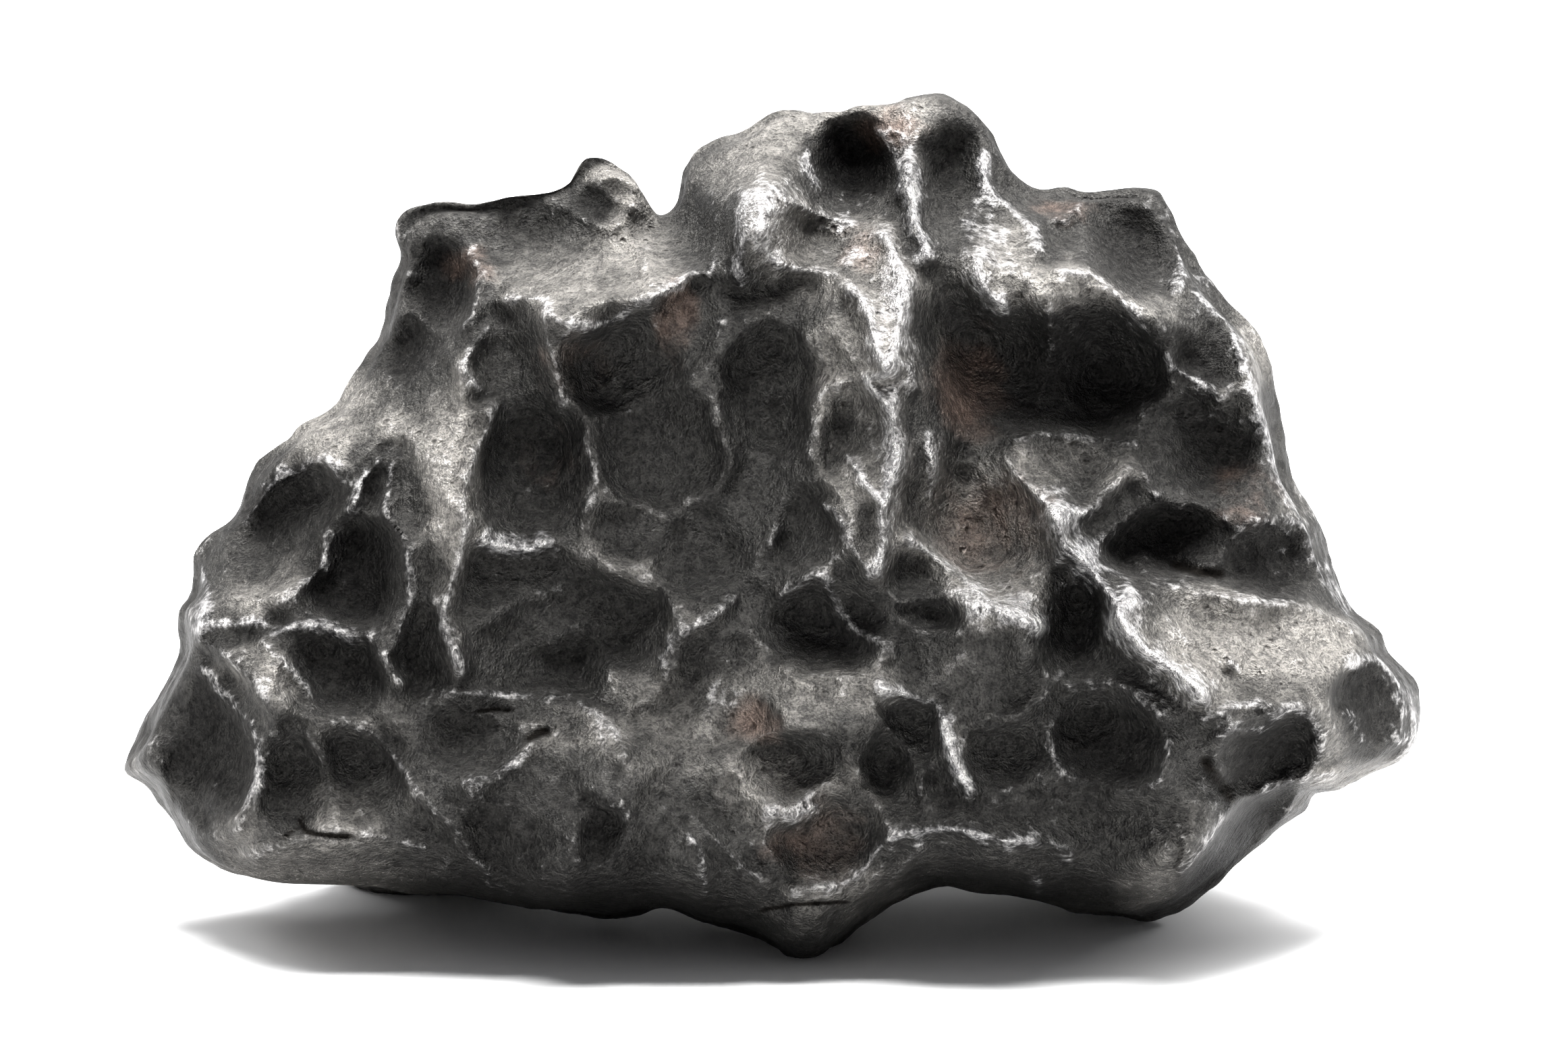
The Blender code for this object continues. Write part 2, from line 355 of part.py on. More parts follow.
# hollows: crests between them are knife sharp in places, rounded in others
keen = np.full(count, np.exp(-2.6 / CREST_SOFTNESS))
blunt = np.full(count, np.exp(-2.6 / 1.0))
for middle_u, middle_w, half_u, half_w, turn, depth in HOLLOWS:
    oval = depth * (turned(bent_u, bent_w, middle_u, middle_w, half_u, half_w, turn) ** 1.4 - 1)
    keen += np.exp(-np.minimum(oval, 20) / CREST_SOFTNESS)
    blunt += np.exp(-np.minimum(oval, 20) / 1.0)
shallow = np.random.default_rng(23)
for cell in range(260):
    oval = turned(bent_u, bent_w, shallow.uniform(-98, 98), shallow.uniform(4, 130), shallow.uniform(5, 10),
                  shallow.uniform(5, 10), shallow.uniform(0, 180))
    oval = shallow.uniform(1.0, 3.0) * (oval - 1) + 1.2
    keen += np.exp(-np.minimum(oval, 20) / CREST_SOFTNESS)
    blunt += np.exp(-np.minimum(oval, 20) / 1.0)
keenness = smooth(swirl(flat, 14.0, 2, 7), -0.25, 0.35)
relief = -CREST_SOFTNESS * np.log(keen) * keenness - 1.0 * np.log(blunt) * (1 - keenness)


def beside(points, reach_out):
    """the corners of the mesh that a line comes near, as a mask"""
    low, high = points.min(axis=0) - reach_out, points.max(axis=0) + reach_out
    return (facing > 0) & (across > low[0]) & (across < high[0]) & (up > low[1]) & (up < high[1])


for height, left, right, points in CRESTS:
    line = curve(points, False)
    near = beside(line, max(left, right) + 1)
    gap, side, along, length = near_line(line_u[near], line_w[near], line)
    width = np.where(side > 0, right, left)
    ends = smooth(along, 0, 3) * smooth(length - along, 0, 3)
    relief[near] += height * np.clip(1 - gap / width, 0, None) ** 1.7 * ends * (0.75 + 0.25 * keenness[near])
for middle_u, middle_w, half_u, half_w, turn, height in LUMPS:
    relief += height * np.exp(-turned(bent_u, bent_w, middle_u, middle_w, half_u, half_w, turn))

relief += 0.55 * swirl(flat, 9.0, 3, 8)

# front and back sheets joined round the outline
front = through(FRONT, across, up) + RELIEF * relief * smooth(facing, 0.04, 0.2)
back = -through(BACK, across, up)
edge = np.interp(np.degrees(angle), [turn for turn, out in EDGE], [out for turn, out in EDGE])
out = edge + (np.where(facing >= 0, front, back) - edge) * rounding
tip = np.radians(LEAN)
place = np.column_stack([
    across,
    up * np.sin(tip) - out * np.cos(tip),
    up * np.cos(tip) + out * np.sin(tip),
])
place *= MM


def put(points):
    """moves the stone's corners and returns the way each one faces"""
    stone.data.vertices.foreach_set("co", points.ravel())
    stone.data.update()
    ways = np.empty(count * 3)
    stone.data.vertices.foreach_get("normal", ways)
    return ways.reshape(-1, 3)


# how each corner hangs together with its neighbours
ends = np.empty(len(stone.data.edges) * 2, dtype=np.int32)
stone.data.edges.foreach_get("vertices", ends)
ends = ends.reshape(-1, 2)
links = np.bincount(ends.ravel(), minlength=count)


def spread(values, times):
    """each corner's values averaged with its neighbours', several times over"""
    for turn in range(times):
        total = np.column_stack([
            np.bincount(ends[:, 0], values[ends[:, 1], axis], count)
            + np.bincount(ends[:, 1], values[ends[:, 0], axis], count)
            for axis in range(values.shape[1])
        ])
        values = 0.3 * values + 0.7 * total / links[:, None]
    return values


# hollows over the sides, back and underside, where the front relief fades out
ways = spread(put(place), 6)
ways /= np.linalg.norm(ways, axis=1)[:, None]
dice = np.random.default_rng(CELL_SEED)
starts = []
for toss in range(3000):
    pick = np.argmax(ball @ dice.normal(size=3))
    if facing[pick] < 0.3 and all(np.linalg.norm(place[pick] - place[other]) > 13 * MM for other in starts):
        starts.append(pick)
    if len(starts) == BACK_CELLS:
        break
cells = np.full(count, np.exp(-0.3 / CREST_SOFTNESS))
for start in starts:
    size = dice.uniform(10, 17)
    depth = size * dice.uniform(0.2, 0.4)
    middle = place[start] + ways[start] * dice.uniform(0, 2) * MM
    oval = ((place - middle) ** 2).sum(axis=1) / (size * MM) ** 2
    cells += np.exp(-np.minimum(depth * (oval - 1), 20) / CREST_SOFTNESS)
cells = -CREST_SOFTNESS * np.log(cells)
swell = np.zeros(count)
for wave in range(12):
    run = dice.normal(size=3)
    run *= 2 * np.pi / (dice.uniform(35, 90) * MM * np.linalg.norm(run))
    swell += 0.9 * np.sin(place @ run + dice.uniform(0, 6.28))
away = 1 - smooth(facing, 0.04, 0.3)
off_rim = smooth(abs(facing), 0, 0.32)
skin = 0.5 * swirl(place / MM, 8.0, 3, 10)
place += ways * ((cells * (0.1 + 0.9 * off_rim) + swell * off_rim + skin) * away * MM)[:, None]

# the stone set down on three worn feet
place[:, 2] -= GROUND * MM
underside = smooth(-ways[:, 2], -0.2, 0.4) * (1 - smooth(place[:, 2], 8 * MM, 22 * MM))
place[:, 2] += ARCH * MM * underside * smooth(place[:, 1], -4 * MM, 26 * MM)
for foot_across, foot_back, foot_radius, drop in FEET:
    gap = np.hypot(place[:, 0] - foot_across * MM, place[:, 1] - foot_back * MM)
    place[:, 2] -= drop * MM * underside * np.exp(-(gap / (foot_radius * MM)) ** 2)
place[:, 2] = np.maximum(place[:, 2], 0)
put(place)

# the finest teeth worn off, then fewer, larger triangles
wearing = stone.modifiers.new("worn smooth", "SMOOTH")
wearing.factor = 0.5
wearing.iterations = 5
bpy.ops.object.modifier_apply(modifier=wearing.name)
thinning = stone.modifiers.new("fewer triangles", "DECIMATE")
thinning.ratio = TRIANGLE_SHARE
bpy.ops.object.modifier_apply(modifier=thinning.name)
corners = [corner.co.copy() for corner in stone.data.vertices]
middle_x = (max(c.x for c in corners) + min(c.x for c in corners)) / 2
middle_y = (max(c.y for c in corners) + min(c.y for c in corners)) / 2
for corner in stone.data.vertices:
    corner.co.x -= middle_x
    corner.co.y -= middle_y
    if corner.co.z < 0.15 * MM:
        corner.co.z = 0

# dark worn iron
iron = bpy.data.materials.new("dark iron")
iron.use_nodes = True
finish = iron.node_tree.nodes["Principled BSDF"]
finish.inputs["Base Color"].default_value = (0.055, 0.051, 0.048, 1)
finish.inputs["Metallic"].default_value = 1.0
finish.inputs["Roughness"].default_value = 0.42
stone.data.materials.append(iron)

collection = bpy.data.collections.new("meteorite")
bpy.context.scene.collection.children.link(collection)
for holder in list(stone.users_collection):
    holder.objects.unlink(stone)
collection.objects.link(stone)
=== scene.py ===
import bpy
import numpy as np
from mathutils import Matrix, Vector, noise


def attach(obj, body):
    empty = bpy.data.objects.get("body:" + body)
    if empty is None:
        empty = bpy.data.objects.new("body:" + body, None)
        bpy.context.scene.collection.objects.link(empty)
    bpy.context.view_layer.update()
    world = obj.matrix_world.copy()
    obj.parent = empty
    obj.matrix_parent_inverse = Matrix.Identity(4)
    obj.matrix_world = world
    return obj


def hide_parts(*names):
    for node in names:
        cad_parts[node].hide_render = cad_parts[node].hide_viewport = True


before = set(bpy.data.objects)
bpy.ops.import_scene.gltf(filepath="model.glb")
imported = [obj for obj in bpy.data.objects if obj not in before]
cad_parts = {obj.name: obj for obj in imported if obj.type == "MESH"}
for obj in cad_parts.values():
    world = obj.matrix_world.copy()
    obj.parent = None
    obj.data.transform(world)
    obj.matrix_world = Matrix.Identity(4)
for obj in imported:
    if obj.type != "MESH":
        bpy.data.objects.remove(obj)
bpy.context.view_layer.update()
bpy.ops.object.select_all(action="DESELECT")

# ---------------------------------------------------------------------------
# The stone: one lump of nickel iron that melted at the surface on its way
# down. Hot air scooped it into thumbprint hollows that meet in sharp crests,
# and handling has since rubbed the crests bright through the dark crust.
# ---------------------------------------------------------------------------
MM = 0.001
LEAN = 10.0              # degrees the front face is tipped back
CENTRE = (2.0, 58.0)     # middle of the front outline, mm
EDGE_ROUNDING = 11.0     # mm over which the faces turn into the sides
RELIEF = 1.5             # how strongly the front is carved
BOWL = 1.4               # above 1, hollows are flatter in the middle and steeper at the rim
CREST_SOFTNESS = 0.22    # mm, how blunt the sharp crests between hollows are
BLUNT_SOFTNESS = 1.0     # mm, the same for the rounded ones
PLATEAU = 2.6            # mm, level of what no hollow reaches
SHALLOW_HOLLOWS = 260    # faint ones scattered between the large ones
DENTS = 420              # small ones inside the large hollows
BACK_CELLS = 150         # hollows over the sides, back and underside
CELL_GAP = 13.0          # mm between the middles of those
GROUND = 5.2             # mm, level at which the feet are worn flat
ARCH = 9.0               # mm the underside rises behind the front foot
FRONT_SHARE = 0.72       # below 1, the front gets more of the corners than the back
MOST_TRIANGLES = 196000

# Front outline, clockwise from the left tip: across and up, mm
OUTLINE = [
    (-100, 29.2), (-97.5, 34.5), (-95.5, 39), (-93, 44), (-91.6, 47.5), (-92, 53.5), (-90, 56), (-89.3, 59),
    (-89, 62), (-87, 65), (-83.5, 67.5), (-81.5, 71), (-80, 75), (-78.5, 77.3), (-75, 80), (-72.5, 82.5),
    (-69, 84), (-66.5, 86), (-65, 89), (-62.5, 93.5), (-60.3, 97), (-59.3, 101), (-58.6, 105), (-57.2, 108),
    (-58, 111.5), (-57, 114.5), (-54, 116.4), (-50, 116.8), (-45.5, 116.3), (-41, 117), (-36, 117.8),
    (-31.8, 119.3), (-30.3, 121.5), (-28.8, 123.6), (-26, 123.6), (-22.5, 121.8), (-20, 119.3), (-18.7, 116.5),
    (-17.2, 114.7), (-15, 116), (-14, 118.5), (-13.6, 121), (-12, 123.3), (-9, 125.8), (-4, 128.3), (-0.5, 130.3),
    (3, 130.9), (7, 130.1), (10.5, 130.2), (14, 131.6), (18.5, 131.6), (21.5, 132.6), (25.5, 133.2),
    (29.5, 131.8), (32.5, 129), (35, 125), (37.5, 121), (41, 118.7), (45.5, 119.4), (48.5, 118.6), (54, 119),
    (59, 118.5), (61, 116), (64, 111), (66.5, 106.5), (69.5, 102.5), (72.5, 99.5), (75.5, 96), (77, 91.5),
    (77.7, 86), (79, 80.5), (80, 74.5), (83, 69.5), (85, 66), (86.3, 61.5), (88, 57.5), (90.3, 53.5),
    (93.5, 51), (95, 47.5), (97.8, 45), (99.6, 42), (100, 38), (99, 33.5), (96.5, 30.5), (91.5, 28),
    (87, 25.6), (83.7, 25.5), (82, 22.5), (78.5, 19.5), (74, 15.5), (70, 12), (65, 7.7), (60.5, 5.6),
    (57.3, 4.7), (53.5, 5.8), (48, 6.4), (43, 7.9), (38, 9.1), (32.5, 9.2), (26.5, 10.5), (22.5, 9.6),
    (18, 7.4), (14, 5.3), (10, 2.2), (7.5, 0.4), (4.5, 0.1), (2, 1.4), (-1, 3.2), (-5, 4.6), (-10.5, 5.1),
    (-14.5, 6.6), (-17.5, 6.9), (-21, 5.6), (-25, 5), (-31, 5.9), (-38, 6.7), (-43, 7.3), (-48, 8.4),
    (-55, 9), (-63, 9.7), (-69, 10), (-77, 9.8), (-83, 10.6), (-87.5, 12.5), (-91, 15.2), (-92.5, 18.5),
    (-94.5, 23), (-96.5, 26.3),
]

# How far forward the outline itself stands: degrees round from the right, mm
EDGE = [(-180, 0), (-160, -6), (-130, -14), (-108, -2), (-90, 22), (-74, 6), (-50, -8), (-22, 4), (0, -5),
        (25, 4), (50, -4), (75, 3), (100, -3), (125, 4), (150, -4), (165, 3), (180, 0)]

# How far the front stands out, mm: across, up, out
FRONT = [
    # crown and the two shoulders
    (25, 130, 8), (5, 128, 8), (12, 122, 7), (35, 118, 8), (22, 113, 21), (0, 115, 23), (-8, 118, 14),
    (-12, 121, 6), (-25, 120, 5), (-45, 113, 8), (-56, 111, 9), (-35, 110, 12), (-14, 110, 15), (46, 116, 6),
    (58, 115, 9), (55, 108, 14), (66, 105, 15), (72, 98, 18), (8, 114, 15),
    # the shelf edges and the spine between them
    (-58, 100, 13), (-48, 98, 19), (-40, 100, 25), (-30, 98, 33), (-15, 102, 30), (0, 104, 30), (10, 103, 30),
    (20, 100, 38), (28, 98, 24), (33, 103, 30), (40, 105, 28), (50, 104, 28), (60, 97, 28), (70, 96, 22),
    (-60, 88, 15), (-50, 88, 25), (-40, 90, 29), (-25, 90, 31), (-10, 90, 33), (0, 90, 35), (10, 90, 38),
    (18, 90, 44), (27, 90, 28), (36, 90, 26), (50, 90, 22), (62, 90, 26), (73, 88, 26),
    # the main face
    (-75, 76, 15), (-65, 78, 21), (-55, 75, 29), (-47, 72, 34), (-38, 75, 30), (-25, 75, 33), (-10, 75, 36),
    (3, 75, 38), (16, 75, 47), (26, 75, 35), (36, 78, 32), (46, 76, 32), (57, 77, 31), (67, 78, 29), (77, 76, 26),
    (-86, 60, 15), (-75, 62, 25), (-63, 60, 32), (-52, 62, 35), (-45, 62, 36), (-30, 62, 35), (-15, 62, 38),
    (0, 62, 41), (15, 62, 49), (25, 62, 39), (33, 62, 38), (43, 65, 42), (50, 62, 38), (60, 64, 34),
    (75, 62, 31), (84, 60, 26), (-89, 48, 22), (-80, 50, 28), (-68, 48, 34), (-55, 50, 37), (-45, 50, 38),
    (-28, 50, 38), (-15, 48, 41), (0, 50, 43), (10, 52, 44), (20, 50, 48), (30, 54, 49), (40, 51, 50),
    (47, 50, 45), (53, 52, 51), (62, 52, 44), (75, 52, 38), (88, 52, 28),
    # the thick lower part, rolling under towards the ground
    (-94, 38, 23), (-86, 36, 28), (-76, 38, 36), (-65, 38, 38), (-50, 41, 40), (-35, 41, 39), (-22, 40, 42),
    (-8, 40, 45), (5, 42, 48), (15, 43, 49), (26, 40, 49), (38, 40, 50), (50, 40, 50), (62, 44, 53),
    (75, 44, 47), (88, 42, 38), (96, 40, 31), (-96, 28, 19), (-86, 28, 29), (-76, 28, 38), (-60, 28, 42),
    (-45, 28, 46), (-30, 30, 47), (-20, 30, 48), (-5, 30, 49), (5, 30, 50), (20, 30, 50), (35, 30, 52),
    (50, 30, 53), (62, 34, 55), (75, 32, 46), (90, 32, 32), (-88, 18, 28), (-75, 18, 38), (-60, 19, 43),
    (-45, 20, 46), (-28, 20, 50), (-12, 20, 50), (0, 14, 50), (10, 14, 50), (25, 18, 50), (40, 18, 50),
    (55, 22, 52), (61, 16, 48), (72, 20, 26), (80, 24, 20), (-80, 11, 24), (-60, 11, 30), (-45, 10, 35),
    (-25, 8, 41), (-10, 8, 42), (5, 5, 42), (15, 8, 42), (30, 11, 39), (45, 10, 36), (57, 8, 28),
]

# How far the back stands out the other way, mm: across, up, out
BACK = [
    (-90, 30, 22), (-88, 50, 18), (-60, 15, 44), (-65, 40, 42), (-70, 62, 28), (-60, 85, 16), (-52, 108, 10),
    (-30, 15, 48), (-30, 45, 52), (-30, 75, 38), (-30, 100, 18), (-25, 118, 6), (0, 12, 46), (0, 45, 56),
    (5, 75, 44), (8, 100, 30), (10, 122, 12), (28, 124, 10), (30, 12, 48), (30, 45, 54), (32, 78, 40),
    (35, 105, 20), (60, 12, 44), (58, 45, 46), (56, 75, 34), (55, 105, 14), (80, 30, 30), (84, 52, 22),
    (76, 82, 14), (95, 38, 16),
]

# Hollows in the front: across, up, half width, half height, turn, depth
HOLLOWS = [
    # left wing
    (-86, 33, 9, 14, 6, 7), (-72, 28.5, 6.5, 8, 0, 3.5), (-62, 29.5, 8.5, 8, 0, 3.5), (-66, 44.5, 9, 7.5, -10, 5),
    (-52.5, 48, 5.2, 8.5, 12, 4.5), (-74, 66.5, 13.5, 8, 50, 7), (-86, 62.5, 3.2, 5, -20, 2),
    (-64.5, 60, 9.5, 10.5, 0, 6.5), (-60, 73, 4.2, 7.5, -35, 4), (-92, 24, 4, 7, 15, 1.5),
    # left shoulder and shelf
    (-51, 103, 6.5, 8.5, 0, 6.5), (-55, 94.5, 5, 7, -25, 4.5), (-52, 86.5, 6, 6, 0, 1.8), (-35, 109, 12, 7, 0, 4),
    (-47, 110, 6, 4, -20, 2.2), (-24, 107, 6, 5, 0, 2.2), (-36, 103, 5, 3, 0, 1.4), (-40, 113.6, 9, 3.2, -2, 1.2),
    (-27, 116.5, 5.5, 3.2, 0, 1.6), (-14, 111, 5, 6, 0, 1.5),
    # main face
    (-37, 76, 10, 12.5, 12, 5.5), (-38, 59.5, 12, 5.5, -8, 3), (-40, 92.5, 6.5, 9, -8, 4),
    (-22, 91.5, 10.5, 9, -10, 5.5), (-12.5, 97, 4.2, 8, 0, 3), (-17, 78, 10.5, 11, 20, 5.5),
    (-20, 66.5, 7.5, 6, 0, 3), (-10.5, 64, 9, 8.5, 20, 4), (-28, 50, 15.5, 9.5, 6, 6), (-0.5, 87, 8.5, 12, 0, 5.5),
    (13, 81, 5, 9, -22, 3), (-3, 73, 6, 7, 0, 3), (5.5, 66, 6.2, 7.5, -25, 4), (8, 51.5, 10.5, 7.5, 0, 3.6),
    # foot of the face
    (-45, 34.5, 9, 5.5, 0, 3), (3, 30.5, 7, 5, 0, 3), (9, 18.5, 9.5, 8, 0, 5), (18, 31, 4, 8, -25, 3),
    (22.5, 36.5, 5.5, 6, 0, 2.5), (26.5, 27.5, 3.5, 5, 0, 2), (36, 32, 7.5, 6.5, 0, 3.5), (49, 35, 8, 7.5, 20, 3.6),
    (54, 32, 6, 7, -15, 3.4),
    (45, 24, 16, 5, 0, 2.5), (-25.5, 20, 3, 3.8, -25, 2.4), (-27.5, 23.5, 2, 2.6, 30, 1.3), (46, 10.5, 6, 3.5, 0, 2),
    (-5, 38, 5, 5, 0, 1.5),
    # right wing
    (75, 32.5, 9, 6, 18, 7), (91, 39, 6, 9.5, -12, 7), (70, 17, 13, 4, 52, 5), (60, 64, 10.5, 6, 15, 4.5),
    (76, 61.5, 8, 6, -12, 4.5), (47, 53, 5, 8, -35, 3.5), (27, 68, 8, 8, 0, 3), (34, 64, 8.5, 9.5, -15, 3.5),
    (29.5, 73.5, 2.4, 2.4, 0, 2.5),
    (22, 60, 5.5, 4.5, 0, 2.5), (24.5, 53.5, 5.5, 3, -10, 3),
    # right shoulder with its deep hollow, and the cup at the crown
    (35, 91, 9.5, 10.5, 10, 4.5), (51, 91.5, 10, 9.5, -15, 4), (43, 86, 13, 7, 0, 2), (31, 87.5, 6, 10, 0, 1.6),
    (66, 92, 6.5, 6.5, 0, 3.5), (67, 79, 9, 9.5, 0, 5), (56, 110, 8.5, 9.5, 0, 4.5),
    (45, 109.5, 4.5, 4.5, 0, 2.2), (43, 116.5, 5.5, 2.8, 0, 1.6), (12.5, 122, 7, 7.8, 0, 4.5),
    (27, 118, 5, 9.5, 0, 3), (26.5, 98, 3.6, 12, 0, 1.6), (6, 110, 5, 4, 0, 1.0),
]

